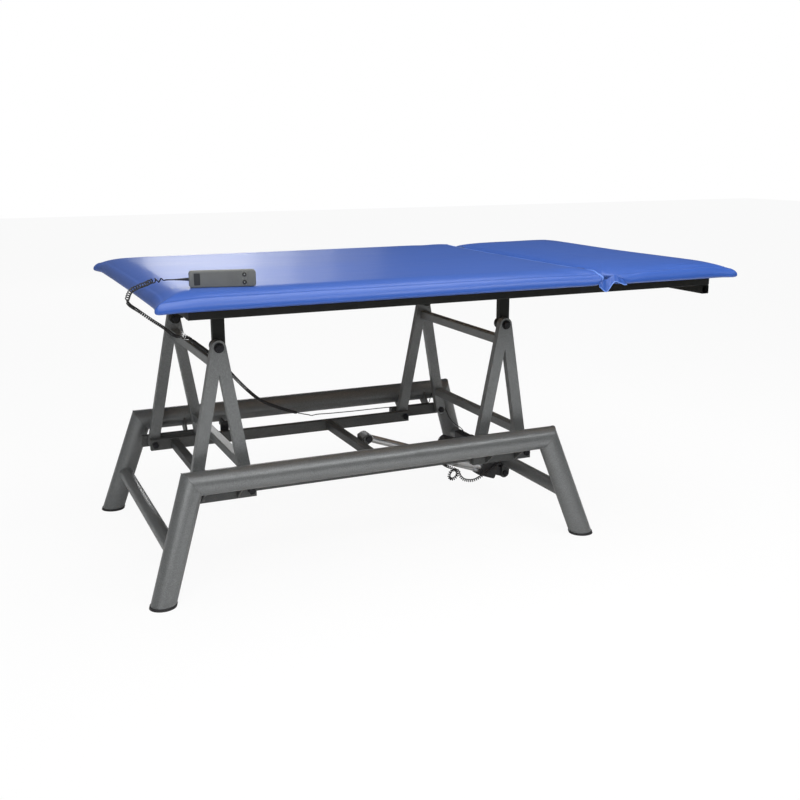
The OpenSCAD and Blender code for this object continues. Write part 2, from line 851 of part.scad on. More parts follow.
// One ring round a pad; the left end has inset a and corners ca, the right end b and cb
function pad_ring(x0, x1, inset, a, b, ca, cb, draw, z) =
    let (
        l = x0 + a, r = x1 - b, y = pad_w / 2 - inset,
        c = max(ca - inset, least_corner), d = max(cb - inset, least_corner)
    )
    concat(
        side_run([r, -y + d], [r, y - d], [-1, 0], short_steps, draw, z),
        corner(r - d, y - d, d, 0, z),
        side_run([r - d, y], [l + c, y], [0, -1], long_steps, draw, z),
        corner(l + c, y - c, c, 90, z),
        side_run([l, y - c], [l, -y + c], [1, 0], short_steps, draw, z),
        corner(l + c, -y + c, c, 180, z),
        side_run([l + c, -y], [r - d, -y], [0, 1], long_steps, draw, z),
        corner(r - d, -y + d, d, 270, z)
    );

// A closed skin over rings of points, counterclockwise and from the underside on
module skin(rings) {
    n = len(rings[0]);
    m = len(rings);
    middle = function(k) [for (i = [0 : 2]) [for (p = rings[k]) p[i]] * [for (p = rings[k]) 1] / n];
    points = concat([for (ring = rings) each ring], [middle(0), middle(m - 1)]);
    faces = [
        for (k = [0 : m - 2], i = [0 : n - 1])
            let (a = k * n + i, b = k * n + (i + 1) % n)
            each [[a, a + n, b + n], [a, b + n, b]],
        for (i = [0 : n - 1]) [m * n, i, (i + 1) % n],
        for (i = [0 : n - 1]) [m * n + 1, (m - 1) * n + (i + 1) % n, (m - 1) * n + i]
    ];
    polyhedron(points, faces);
}

// Room in the pads for the hinge knuckles, open to the top
module knuckle_room() {
    r = knuckle_d / 2 + knuckle_gap;
    w = hinge_w + 2 * knuckle_gap;
    for (side = [-1, 1]) {
        y = side * hinge_y;
        across([hinge_x, hinge_z], r, y - w / 2, y + w / 2);
        translate([hinge_x - r, y - w / 2, hinge_z]) cube([2 * r, w, huge]);
    }
}

module main_pad() {
    x1 = hinge_x - pad_gap / 2;
    color(vinyl_blue) difference() {
        skin([for (k = [0 : len(main_profile) - 1]) let (p = main_profile[k])
            pad_ring(pad_left, x1, p[0], p[0], p[1], pad_corner_r, main_hinge_corner_r,
                k < 2 ? 0 : pad_draw, pad_z + p[2])]);
        knuckle_room();
    }
}

module head_pad() {
    x0 = hinge_x + pad_gap / 2;
    color(vinyl_blue) difference() {
        skin([for (k = [0 : len(head_profile) - 1]) let (p = head_profile[k])
            pad_ring(x0, pad_right, p[0], p[1], p[0], head_hinge_corner_r, pad_corner_r,
                k < 2 ? 0 : pad_draw, pad_z + p[2])]);
        knuckle_room();
    }
}

// A board in a pad's recess, from the ring at the recess
module board(ring) {
    color(board_brown) translate([0, 0, pad_z]) linear_extrude(board_t)
        polygon([for (p = ring) [p[0], p[1]]]);
}

module main_board() {
    board(pad_ring(pad_left, hinge_x - pad_gap / 2, board_inset, board_inset, undercut + leaf_t,
        pad_corner_r, main_hinge_corner_r, 0, 0));
}
module head_board() {
    board(pad_ring(hinge_x + pad_gap / 2, pad_right, board_inset, undercut + leaf_t, board_inset,
        head_hinge_corner_r, pad_corner_r, 0, 0));
}

// Head hinges: a forked fixed leaf and a single moving strip on one pin
strip_edge = hinge_w / 4;
leaf_hold = 70;

module strip(p, y0, y1, bore) {
    side_plate(y0, y1) difference() {
        union() {
            bar_2d([hinge_x, hinge_z], p, leaf_t);
            translate([hinge_x, hinge_z]) circle(knuckle_d / 2);
        }
        translate([hinge_x, hinge_z]) circle(bore);
    }
}

module hinge_leaves_fixed() {
    rail_x = hinge_x - hinge_rail_back - cross_rail_w / 2;
    foot_x = hinge_x - pad_gap / 2 - undercut + leaf_t;
    foot_z = bed_low + cross_rail_h;
    color(dark_grey) for (side = [-1, 1]) {
        y0 = side * hinge_y - hinge_w / 2;
        translate([rail_x, y0, foot_z]) cube([foot_x - rail_x, hinge_w, leaf_t]);
        for (y = [y0, y0 + hinge_w - strip_edge + fit_gap])
            strip([foot_x - leaf_t / 2, foot_z + leaf_t / 2], y, y + strip_edge - fit_gap,
                hinge_pin_d / 2 + slip);
    }
}

module hinge_leaves_moving() {
    foot_x = hinge_x + pad_gap / 2 + undercut - leaf_t;
    color(dark_grey) for (side = [-1, 1]) {
        y0 = side * hinge_y - hinge_w / 2;
        translate([foot_x, y0, pad_z - leaf_t]) cube([leaf_hold, hinge_w, leaf_t]);
        strip([foot_x + leaf_t / 4, pad_z - leaf_t], y0 + strip_edge, y0 + hinge_w - strip_edge,
            hinge_pin_d / 2 + run_gap);
    }
}

module hinge_pins() {
    color(silver) for (side = [-1, 1])
        across([hinge_x, hinge_z], hinge_pin_d / 2,
            side * hinge_y - hinge_w / 2, side * hinge_y + hinge_w / 2);
}

// Handset, lying on its long edge; X is its length, its front faces -Y
pad_top = pad_z + pad_t;

module handset_place() {
    translate([handset_x, handset_y, pad_top + fit_gap]) rotate([0, 0, handset_turn]) children();
}

handset_axis = [-cos(handset_turn), -sin(handset_turn), 0];
handset_middle = [handset_x, handset_y, pad_top + fit_gap + handset_h / 2];

// A round piece from the handset's front face, y0 to y1 into the case
module from_front(x, z, r, y0, y1) {
    translate([x, y1 - handset_t / 2, z]) rotate([90, 0, 0]) cylinder(h = y1 - y0, r = r);
}

module handset_case() {
    color(handset_grey) handset_place() difference() {
        translate([0, handset_t / 2, handset_h / 2]) rotate([90, 0, 0]) linear_extrude(handset_t)
            round_rect(handset_l, handset_h, handset_edge);
        translate([window_x - window_w / 2, -handset_t / 2 - over, (handset_h - window_h) / 2])
            cube([window_w, over + window_t, window_h]);
        for (up = [-1, 1])
            from_front(button_x, handset_h / 2 + up * button_pitch / 2, button_d / 2 + button_gap,
                -over, button_in + button_travel + fit_gap);
    }
}

module handset_window() {
    color(plastic_black) handset_place()
        translate([window_x - window_w / 2, -handset_t / 2, (handset_h - window_h) / 2])
            cube([window_w, window_t, window_h]);
}

module button(up) {
    color(plastic_black) handset_place()
        from_front(button_x, handset_h / 2 + up * button_pitch / 2, button_d / 2, -button_out, button_in);
}

// Tapered strain relief and the straight first stretch of the lead
module handset_lead() {
    r = lead_d / 2;
    color(plastic_black) handset_place() translate([-handset_l / 2, 0, handset_h / 2]) rotate([0, -90, 0])
        rotate_extrude() polygon([
            [0, 0],
            [relief_r, 0],
            [relief_r, relief_l / 4],
            [r + (relief_r - r) / 3, relief_l],
            [r, relief_l],
            [r, lead_run],
            [0, lead_run]
        ]);
}

// Cords
// The handset's cord: down over the left end, onto the left frame's upper cross
// tube, down to the far tie bar, along it and the far rail to the right end
cord_route = [
    handset_middle + (handset_l / 2 + lead_run) * handset_axis,
    [-703, -438, 975], [-713, -417, 970], [-718, -380, 960], [-728, -340, 950], [-738, -308, 940],
    [-746, -270, 926], [-748, -235, 908], [-745, -196, 887],
    [-732, -160, 869], [-700, -99, 843], [-650, -48, 802], [-600, 6, 763], [-560, 62, 728],
    [-530, 104, 713], [-508, 84, 712], [-506, 30, 712], [-506, -60, 712], [-506, -150, 712],
    [-506, -215, 712],
    [-496, -240, 711], [-476, -242, 692], [-455, -226, 662], [-431, -205, 630], [-365, -135, 560],
    [-295, -55, 498], [-200, 40, 440], [-109, 130, 392],
    [-40, 200, 360], [0, 280, 334], [40, 325, 324], [100, 340, 318], [200, 349, 314],
    [300, 349, 314], [400, 349, 313], [500, 350, 313], [535, 350, 313.5], [552, 367, 326],
    [562, 383, 337], [572, 384.7, 338], [582, 383, 337], [605, 380, 318], [622, 376, 286],
    [640, 358, 235], [650, 325, 215], [652, 290, 211], [652, 262, 205], [652, 250, 194]
];
// Where the cord's stretches begin and end in the route
pad_to = 8;
drop_to = 16;
frame_to = 19;
span_to = 27;

motor_route = [
    [659, -44, 150], [647, -46, 144], [622, -46, 133], [589, -44, 111], [545, -42, 92], [505, -40, 98],
    [486, -38, 116], [480, -35, 134], [465, -32, 142], [448, -29, 132], [445, -26, 114],
    [458, -23, 102], [476, -20, 106], [485, -16, 122], [476, -4, 136], [462, 20, 140],
    [456, 46, 144], [457, 66, 152], [461, 75, 166], [462.6, 75, 174.6]
];
lead_route = [
    [651, 170, 150], [652, 152, 152], [662, 138, 166], [686, 122, 180], [706, 96, 178], [708, 50, 177],
    [708, 0, 177], [704, -26, 178], [690, -42, 177], [670, -47, 165], [659, -44, 150]
];

// Catmull-Rom curve through the route between two of its points
function curve_at(a, b, c, d, t) =
    (2 * b + (c - a) * t + (2 * a - 5 * b + 4 * c - d) * t * t + (3 * b - a - 3 * c + d) * t * t * t) / 2;
curve_steps = 6;
function curve(route, from, to) = [
    for (i = [from : to - 1], k = [0 : curve_steps - 1])
        curve_at(route[max(i - 1, 0)], route[i], route[i + 1], route[min(i + 2, len(route) - 1)],
            k / curve_steps),
    route[to]
];
function tangents(pts) = let (n = len(pts))
    [for (i = [0 : n - 1]) unit(pts[min(i + 1, n - 1)] - pts[max(i - 1, 0)])];
function direction_at(route, i) = unit(route[min(i + 1, len(route) - 1)] - route[max(i - 1, 0)]);
// Length along a curve up to each of its points
function lengths(pts) = [for (i = 0, s = 0; i < len(pts);
    s = s + (i + 1 < len(pts) ? norm(pts[i + 1] - pts[i]) : 0), i = i + 1) s];
function place_at(tables, s) = [for (table = tables) lookup(s, table)];
function tables_of(pts) = let (l = lengths(pts))
    [for (k = [0 : 2]) [for (i = [0 : len(pts) - 1]) [l[i], pts[i][k]]]];

// Rings carried along a line of points without twist
function carried(t, first) = [for (i = 0, u = first; i < len(t);
    i = i + 1, u = unit(u - t[min(i, len(t) - 1)] * (u * t[min(i, len(t) - 1)]))) u];
module tube_through(pts, start_dir, end_dir, r, sides) {
    n = len(pts);
    inner = tangents(pts);
    t = [for (i = [0 : n - 1]) i == 0 ? start_dir : i == n - 1 ? end_dir : inner[i]];
    u = carried(t, unit(cross(t[0], abs(t[0][2]) > 0.9 ? [1, 0, 0] : [0, 0, 1])));
    skin([for (i = [0 : n - 1]) let (v = cross(t[i], u[i]))
        [for (k = [0 : sides - 1]) let (a = 360 * k / sides) pts[i] + r * (cos(a) * u[i] + sin(a) * v)]]);
}

curl_rings = 8;
curl_sides = 6;
// Centre line of a curly cord wound round the curve, straight for one lead diameter at its ends
function curl_line(pts, curls, d) =
    let (
        tables = tables_of(pts), total = lengths(pts)[len(pts) - 1], n = curls * curl_rings,
        r = (curl_d - d) / 2, ramp = total / curls / 2, h = total / n
    )
    [for (i = [0 : n]) let (
        s = total * i / n,
        p = place_at(tables, s),
        t = unit(place_at(tables, min(s + h, total)) - place_at(tables, max(s - h, 0))),
        a = unit(cross(t, [0, 0, 1])),
        b = cross(t, a),
        grow = max(0, min(1, (s - d) / ramp, (total - s - d) / ramp)),
        phi = 360 * i / curl_rings
    ) p + r * grow * (cos(phi) * a + sin(phi) * b)];
// Least distance between windings, less the lead's own diameter
function least_gap(line, d) = min([
    for (i = [0 : len(line) - 1], j = [i + curl_rings * 5 / 8 : 1 : len(line) - 1]) norm(line[i] - line[j])
]) - d;

// The directions at the ends are given where another piece sets them
module curly(name, route, from, to, curls, d, start, end) {
    line = curl_line(curve(route, from, to), curls, d);
    echo(str(name, " least gap ", least_gap(line, d), " wire ", lengths(line)[len(line) - 1]));
    color(plastic_black)
        tube_through(line, start ? start : direction_at(route, from), end ? end : direction_at(route, to),
            d / 2, curl_sides);
}

lead_sides = 8;
ring_step = 14;
module plain_lead(route, from, to, d, start, end) {
    pts = curve(route, from, to);
    tables = tables_of(pts);
    total = lengths(pts)[len(pts) - 1];
    n = ceil(total / ring_step);
    color(plastic_black)
        tube_through([for (i = [0 : n]) place_at(tables, total * i / n)],
            start ? start : direction_at(route, from), end ? end : direction_at(route, to),
            d / 2, lead_sides);
}

motor_start = direction_at(lead_route, len(lead_route) - 1);
gland_axis = [sin(actuator_lean), 0, cos(actuator_lean)];

module curl_pad() { curly("curl_pad", cord_route, 0, pad_to, 14, lead_d, start = handset_axis); }
module curl_drop() { curly("curl_drop", cord_route, pad_to, drop_to, 15, lead_d); }
module curl_frame() { curly("curl_frame", cord_route, drop_to, frame_to, 8, lead_d); }
module curl_span() { curly("curl_span", cord_route, frame_to, span_to, 14, lead_d); }
module cord_tail() { plain_lead(cord_route, span_to, len(cord_route) - 1, lead_d, end = [0, 0, -1]); }
module motor_curl() {
    curly("motor_curl", motor_route, 0, len(motor_route) - 1, 14, motor_lead_d, motor_start, gland_axis);
}
module motor_lead() { plain_lead(lead_route, 0, len(lead_route) - 1, motor_lead_d, start = [0, -1, 0]); }

seat() side_tube(-1);  // side_tube_near
seat() side_tube(1);  // side_tube_far
seat() leg(-1, -1);  // leg_near_left
seat() leg(1, -1);  // leg_near_right
seat() leg(-1, 1);  // leg_far_left
seat() leg(1, 1);  // leg_far_right
seat() foot_caps();
seat() lower_cross_tube(-1);  // lower_cross_tube_left
seat() lower_cross_tube(1);  // lower_cross_tube_right
seat() pivot_rails();
seat() rail_hangers();
seat() cord_clips();
seat() fixed_pivot_bolts();
seat() lift_frame(0, -1);  // lift_frame_near_left
seat() lift_frame(0, 1);  // lift_frame_far_left
seat() cross_tubes(0);  // cross_tubes_left
seat() bushes(0);  // bushes_left
seat() lift_frame(1, -1);  // lift_frame_near_right
seat() lift_frame(1, 1);  // lift_frame_far_right
seat() cross_tubes(1);  // cross_tubes_right
seat() bushes(1);  // bushes_right
seat() tie_bar(-1);  // tie_bar_near
seat() tie_bar(1);  // tie_bar_far
seat() tie_beams();
seat() actuator_ears();
seat() tie_bolts();
seat() clevis_pin([front_x, front_z]);  // front_pin
seat() push_rod();
seat() guide_tube();
seat() guide_collar();
seat() gear_housing();
seat() motor();
seat() rear_bracket();
seat() clevis_pin([rear_x, rear_z]);  // rear_pin
seat() control_box();
seat() mains_inlet();
seat() bed_rail(-1);  // bed_rail_near
seat() bed_rail(1);  // bed_rail_far
seat() bed_cross_rails();
seat() posts();
seat() apex_bolts();
seat() main_board();
seat() main_pad();
seat() hinge_leaves_fixed();
seat() hinge_pins();
seat() head_board();
seat() head_pad();
seat() hinge_leaves_moving();
seat() handset_case();
seat() handset_window();
seat() button(1);  // button_up
seat() button(-1);  // button_down
seat() handset_lead();
seat() curl_pad();
seat() curl_drop();
seat() curl_frame();
seat() curl_span();
seat() cord_tail();
seat() motor_curl();
seat() motor_lead();
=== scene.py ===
import math

import bmesh
import bpy
from mathutils import Matrix, Vector, noise
from mathutils.bvhtree import BVHTree


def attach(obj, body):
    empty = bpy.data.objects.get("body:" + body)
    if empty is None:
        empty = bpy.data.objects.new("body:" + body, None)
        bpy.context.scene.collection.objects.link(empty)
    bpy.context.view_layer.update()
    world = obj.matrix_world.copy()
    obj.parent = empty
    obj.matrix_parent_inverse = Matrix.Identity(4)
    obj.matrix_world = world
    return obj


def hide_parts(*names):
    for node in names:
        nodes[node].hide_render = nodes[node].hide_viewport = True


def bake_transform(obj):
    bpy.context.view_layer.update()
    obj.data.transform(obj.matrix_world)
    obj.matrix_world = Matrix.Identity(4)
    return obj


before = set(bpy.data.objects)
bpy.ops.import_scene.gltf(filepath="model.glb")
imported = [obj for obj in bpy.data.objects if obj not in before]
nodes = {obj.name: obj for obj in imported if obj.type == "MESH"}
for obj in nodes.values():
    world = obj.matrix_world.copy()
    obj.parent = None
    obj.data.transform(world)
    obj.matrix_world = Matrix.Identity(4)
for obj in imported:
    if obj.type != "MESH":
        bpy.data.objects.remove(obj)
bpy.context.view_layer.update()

# Metres. Places along the table are counted from the middle of the base, and at() moves
# them to the frame, whose origin is under the middle of the whole table.
BASE_SHIFT = 0.2404241


def at(x, y, z):
    return Vector((x - BASE_SHIFT, y, z))


# Camera
def photo_camera():
    yaw, pitch, roll = (math.radians(a) for a in (23.982, 13.688, -0.226))
    look = Vector((
        math.sin(yaw) * math.cos(pitch), math.cos(yaw) * math.cos(pitch), -math.sin(pitch)))
    side = Vector((math.cos(yaw), -math.sin(yaw), 0))
    head = side.cross(look)
    across = side * math.cos(roll) + head * math.sin(roll)
    up = head * math.cos(roll) - side * math.sin(roll)
    data = bpy.data.cameras.new("photo_camera")
    data.lens, data.sensor_width, data.clip_end = 45.706, 36, 100
    camera = bpy.data.objects.new("photo_camera", data)
    bpy.context.scene.collection.objects.link(camera)
    turn = Matrix((across, up, -look)).transposed().to_4x4()
    camera.matrix_world = Matrix.Translation(at(-1.2392, -3.3508, 1.325)) @ turn
    bpy.context.scene.camera = camera


photo_camera()
bpy.context.scene.view_settings.view_transform = "Standard"


# Shaders
class Wire:
    """An output socket; sums and products of wires add Math nodes."""

    def __init__(self, tree, socket):
        self.tree, self.socket = tree, socket

    def sum(self, operation, *values):
        settings = {"operation": operation}
        return add_node(self.tree, "ShaderNodeMath", settings, dict(enumerate(values)))

    def __add__(self, other):
        return self.sum("ADD", self, other)

    def __sub__(self, other):
        return self.sum("SUBTRACT", self, other)

    def __rsub__(self, other):
        return self.sum("SUBTRACT", other, self)

    def __mul__(self, other):
        return self.sum("MULTIPLY", self, other)

    __radd__, __rmul__ = __add__, __mul__

    def above(self, low, high):
        """From 0 at low to 1 at high, smoothly."""
        return add_node(
            self.tree, "ShaderNodeMapRange", {"interpolation_type": "SMOOTHSTEP"},
            {"Value": self, "From Min": low, "From Max": high},
        )


def add_node(tree, kind, settings=None, values=None, out=0):
    """One node: its settings first, then the values or links of its sockets."""
    node = tree.nodes.new(kind)
    for key, value in (settings or {}).items():
        setattr(node, key, value)
    for key, value in (values or {}).items():
        if isinstance(value, Wire):
            tree.links.new(value.socket, node.inputs[key])
        else:
            node.inputs[key].default_value = value
    return Wire(tree, node.outputs[out])


def rgba(colour):
    return (*colour, 1)


class Finish:
    """A material under way: its shader tree, with the textures most finishes use."""

    def __init__(self, name):
        self.material = bpy.data.materials.new(name)
        self.material.use_nodes = True
        self.tree = self.material.node_tree
        self.tree.nodes.clear()
        self.place = self.node("ShaderNodeTexCoord", out="Object")

    def node(self, kind, settings=None, values=None, out=0):
        return add_node(self.tree, kind, settings, values, out)

    def noise(self, scale, detail=3, rough=0.5, vector=None):
        return self.node("ShaderNodeTexNoise", None, {
            "Vector": vector or self.place, "Scale": scale, "Detail": detail, "Roughness": rough})

    def cells(self, scale):
        return self.node("ShaderNodeTexVoronoi", {"feature": "SMOOTH_F1"}, {
            "Vector": self.place, "Scale": scale, "Smoothness": 0.5})

    def stretched(self, x, y, z, turn=(0, 0, 0)):
        return self.node("ShaderNodeMapping", None, {
            "Vector": self.place, "Scale": (x, y, z), "Rotation": turn})

    def mix(self, a, b, factor):
        ends = {6: a if isinstance(a, Wire) else rgba(a), 7: b if isinstance(b, Wire) else rgba(b)}
        return self.node("ShaderNodeMix", {"data_type": "RGBA"}, {0: factor, **ends}, 2)

    def bump(self, height, depth, strength=1.0, edge=0.0):
        """A bump; edge rounds the look of sharp edges by that radius."""
        values = {"Height": height, "Distance": depth, "Strength": strength}
        if edge:
            values["Normal"] = self.node("ShaderNodeBevel", {"samples": 4}, {"Radius": edge})
        return self.node("ShaderNodeBump", None, values)

    def shader(self, **sockets):
        names = {
            "colour": "Base Color", "rough": "Roughness", "metal": "Metallic", "normal": "Normal",
            "coat": "Coat Weight", "coat_rough": "Coat Roughness", "sheen": "Sheen Weight",
            "specular": "Specular IOR Level",
        }
        values = {names[key]: value for key, value in sockets.items()}
        if not isinstance(values["Base Color"], Wire):
            values["Base Color"] = rgba(values["Base Color"])
        shaded = self.node("ShaderNodeBsdfPrincipled", None, values)
        self.node_end(shaded)
        return self.material

    def node_end(self, shaded):
        end = self.tree.nodes.new("ShaderNodeOutputMaterial")
        self.tree.links.new(shaded.socket, end.inputs["Surface"])


def tinted(colour, share):
    return tuple(min(1, c * share) for c in colour)


def hammered_paint(name, colour, metal, rough, depth):
    """Powder coat with metal flakes: dimples a few millimetres wide with finer grain over them."""
    f = Finish(name)
    dimples = f.cells(330)
    grain = f.noise(1500, 2)
    flakes = f.noise(760, 1).above(0.56, 0.72)
    clouds = f.noise(9, 4)
    tone = f.mix(tinted(colour, 0.82), tinted(colour, 1.12), dimples.above(0.1, 0.75))
    tone = f.mix(tone, tinted(colour, 2.1), flakes * 0.34)
    tone = f.mix(tone, tinted(colour, 0.7), clouds.above(0.5, 0.8) * 0.35)
    height = dimples * 0.8 + grain * 0.25
    return f.shader(
        colour=tone, metal=metal, rough=rough + dimples * 0.12 - flakes * 0.1,
        normal=f.bump(height, depth, 0.7, 0.0018), coat=0.12, coat_rough=0.25,
    )


def satin_paint(name, colour, rough, depth=0.00012):
    """Smooth powder coat with a fine orange peel."""
    f = Finish(name)
    peel = f.noise(420, 2)
    clouds = f.noise(7, 4)
    tone = f.mix(tinted(colour, 0.8), tinted(colour, 1.35), clouds.above(0.35, 0.7))
    return f.shader(
        colour=tone, rough=rough + clouds * 0.12, specular=0.22,
        normal=f.bump(peel, depth, 0.6, 0.002),
    )


def machined_metal(name, colour, rough, streak, turn=(0, 0, 0)):
    """Drawn or turned metal with fine lines along the first axis of the turned pattern."""
    f = Finish(name)
    lines = f.noise(1, 3, 0.6, f.stretched(12, streak, streak, turn))
    smear = f.noise(26, 3)
    tone = f.mix(tinted(colour, 0.84), tinted(colour, 1.1), lines)
    return f.shader(
        colour=tone, metal=1, rough=rough + lines * 0.16 + smear * 0.08,
        normal=f.bump(lines, 0.00005, 0.5),
    )


def moulded_plastic(name, colour, rough, scale=1400, depth=0.00006):
    """Spark-eroded mould texture with faint flow clouds."""
    f = Finish(name)
    pits = f.noise(scale, 3, 0.6)
    clouds = f.noise(18, 3)
    tone = f.mix(tinted(colour, 0.82), tinted(colour, 1.25), clouds)
    return f.shader(colour=tone, rough=rough + pits * 0.14, normal=f.bump(pits, depth, 0.8))


def vinyl(name, colour, grain=0.00009):
    """Coated upholstery fabric: small leather cells, a soft sheen and faint handling marks."""
    f = Finish(name)
    cells = f.cells(980)
    creases = f.noise(260, 4, 0.65)
    clouds = f.noise(3.2, 4)
    wiped = f.noise(1, 4, 0.6, f.stretched(5, 46, 30))
    tone = f.mix(tinted(colour, 0.9), tinted(colour, 1.1), clouds)
    # Painted shade: the vinyl is darkened in the pits of its grain, where the cell bump is lowest
    tone = f.mix(tone, tinted(colour, 0.62), (1 - cells.above(0.05, 0.5)) * 0.25)
    height = cells * 0.7 + creases * 0.5
    return f.shader(
        colour=tone, rough=0.33 + clouds * 0.08 + wiped * 0.09, normal=f.bump(height, grain, 0.55),
        coat=0.1, coat_rough=0.22, sheen=0.05,
    )


def plywood(name, colour):
    """Birch ply: long face grain, and the layers of its edge."""
    f = Finish(name)
    grain = f.noise(1, 5, 0.62, f.stretched(7, 190, 60))
    figure = f.noise(1, 3, 0.5, f.stretched(1.6, 16, 8))
    face = f.mix(tinted(colour, 0.72), tinted(colour, 1.35), grain * 0.6 + figure * 0.4)
    layers = f.node("ShaderNodeTexWave", {"bands_direction": "Z", "wave_profile": "SIN"}, {
        "Vector": f.place, "Scale": 104, "Distortion": 0.6, "Detail": 2}, 1)
    edge = f.mix(tinted(colour, 0.4), tinted(colour, 1.15), layers)
    normal = f.node("ShaderNodeNewGeometry", out="Normal")
    up = f.node("ShaderNodeSeparateXYZ", None, {0: normal}, 2)
    flat = up.sum("ABSOLUTE", up).above(0.4, 0.7)
    return f.shader(colour=f.mix(edge, face, flat), rough=0.62 + grain * 0.14,
                    normal=f.bump(grain, 0.0002, 0.4))


def cord_jacket(name, colour):
    f = Finish(name)
    skin = f.noise(900, 2)
    dust = f.noise(60, 3)
    tone = f.mix(colour, tinted(colour, 2.4), dust.above(0.45, 0.8) * 0.6)
    return f.shader(colour=tone, rough=0.32 + skin * 0.2, normal=f.bump(skin, 0.00004, 0.5))


# Finishes
FRAME_GREY = (0.176, 0.183, 0.184)
VINYL_BLUE = (0.027, 0.098, 0.415)
frame_paint = hammered_paint("anthracite_frame", FRAME_GREY, 0.46, 0.33, 0.00045)
dark_paint = hammered_paint("dark_bars", (0.07, 0.073, 0.072), 0.3, 0.46, 0.0003)
bed_paint = satin_paint("black_rails", (0.0125, 0.0132, 0.012), 0.46)
black_oxide = machined_metal("black_bolts", (0.04, 0.04, 0.043), 0.36, 240)
bright_steel = machined_metal("bright_steel", (0.6, 0.61, 0.62), 0.2, 300)
satin_tube = machined_metal("satin_tube", (0.78, 0.79, 0.8), 0.24, 420)
black_plastic = moulded_plastic("black_plastic", (0.016, 0.016, 0.017), 0.42)
casting_black = hammered_paint("black_casting", (0.022, 0.022, 0.024), 0.1, 0.5, 0.0003)
handset_grey = moulded_plastic("handset_grey", (0.128, 0.132, 0.124), 0.38, 1700)
handset_dark = moulded_plastic("handset_dark", (0.02, 0.022, 0.024), 0.3, 2200)
mark_paint = moulded_plastic("button_marks", (0.3, 0.31, 0.29), 0.4, 2200)
blue_vinyl = vinyl("blue_vinyl", VINYL_BLUE)
# A lighter copy of the cover's blue vinyl for the piping: a painted highlight along the welt and
# the gussets' lower edges
welt_vinyl = vinyl("welt_vinyl", (0.15, 0.29, 0.76), 0.00006)
ply_board = plywood("ply_board", (0.42, 0.27, 0.15))
zinc = machined_metal("zinc", (0.66, 0.66, 0.64), 0.3, 200)
black_jacket = cord_jacket("black_jacket", (0.012, 0.012, 0.013))


def dress(finish, *names):
    for name in names:
        for slot in nodes[name].material_slots:
            slot.material = finish


dress(
    frame_paint, "side_tube_near", "side_tube_far", "leg_near_left", "leg_near_right",
    "leg_far_left", "leg_far_right", "lower_cross_tube_left", "lower_cross_tube_right",
    "lift_frame_near_left", "lift_frame_far_left", "cross_tubes_left",
    "lift_frame_near_right", "lift_frame_far_right", "cross_tubes_right",
)
dress(dark_paint, "pivot_rails", "rail_hangers", "tie_bar_near", "tie_bar_far", "tie_beams",
      "actuator_ears", "rear_bracket", "hinge_leaves_fixed", "hinge_leaves_moving")
dress(bed_paint, "bed_rail_near", "bed_rail_far", "bed_cross_rails", "posts")
dress(black_plastic, "foot_caps", "guide_collar", "control_box", "mains_inlet", "cord_clips")
dress(casting_black, "gear_housing", "motor")
dress(bright_steel, "push_rod", "bushes_left", "bushes_right", "hinge_pins")
dress(black_oxide, "front_pin", "rear_pin")
dress(satin_tube, "guide_tube")
dress(ply_board, "main_board", "head_board")


# Meshes
def mesh_object(name, points, faces, finish, sharp=40, tidy=True):
    """A mesh from points and faces in the frame, welded, with its faces outwards."""
    mesh = bpy.data.meshes.new(name)
    mesh.from_pydata([tuple(p) for p in points], [], faces)
    if tidy:
        work = bmesh.new()
        work.from_mesh(mesh)
        bmesh.ops.remove_doubles(work, verts=work.verts, dist=1e-6)
        bmesh.ops.recalc_face_normals(work, faces=work.faces)
        work.to_mesh(mesh)
        work.free()
    mesh.materials.append(finish)
    shade(mesh, sharp)
    obj = bpy.data.objects.new(name, mesh)
    bpy.context.scene.collection.objects.link(obj)
    return obj


def shade(mesh, sharp):
    mesh.polygons.foreach_set("use_smooth", [True] * len(mesh.polygons))
    mesh.set_sharp_from_angle(angle=math.radians(sharp))


def skin(rings, closed=False):
    """Points and faces over rings of as many points; open ends are capped."""
    n = len(rings[0])
    points = [p for ring in rings for p in ring]
    faces = []
    for k in range(len(rings) - (0 if closed else 1)):
        a, b = k * n, (k + 1) % len(rings) * n
        faces += [(a + i, a + (i + 1) % n, b + (i + 1) % n, b + i) for i in range(n)]
    if not closed:
        faces += [tuple(range(n))[::-1], tuple(range(len(points) - n, len(points)))]
    return points, faces


def several(parts):
    """Parts of points and faces as one."""
    points, faces = [], []
    for more, sides in parts:
        start = len(points)
        points += more
        faces += [tuple(i + start for i in side) for side in sides]
    return points, faces


def directions(points):
    """The way along the line at each of its points."""
    last = len(points) - 1
    return [(points[min(i + 1, last)] - points[max(i - 1, 0)]).normalized()
            for i in range(last + 1)]


def carried_frames(along):
    """Two directions square to each step, carried along without twist."""
    first = along[0].cross(Vector((0, 0, 1)) if abs(along[0].z) < 0.9 else Vector((1, 0, 0)))
    u = first.normalized()
    frames = []
    for t in along:
        u = (u - t * u.dot(t)).normalized()
        frames.append((u, t.cross(u)))
    return frames


def tube(points, radius, sides):
    """A round tube along the points; radius is a number or a function of the point's number."""
    rings = []
    for i, (p, (u, v)) in enumerate(zip(points, carried_frames(directions(points)))):
        r = radius(i) if callable(radius) else radius
        rings.append([
            p + r * (math.cos(2 * math.pi * k / sides) * u + math.sin(2 * math.pi * k / sides) * v)
            for k in range(sides)
        ])
    return skin(rings)


def turned(profile, centre, axis, sides=40, shape=None):
    """A turned piece: profile rows are the place along the axis and the radius. shape gives
    the radius' limit round the axis, as for a hexagon."""
    axis = axis.normalized()
    u = axis.cross(Vector((0, 0, 1)) if abs(axis.z) < 0.9 else Vector((1, 0, 0))).normalized()
    v = axis.cross(u)
    rings = []
    for s, r in profile:
        ring = []
        for k in range(sides):
            a = 2 * math.pi * k / sides
            limit = min(r, shape(a)) if shape else r
            ring.append(centre + axis * s + limit * (math.cos(a) * u + math.sin(a) * v))
        rings.append(ring)
    return skin(rings)


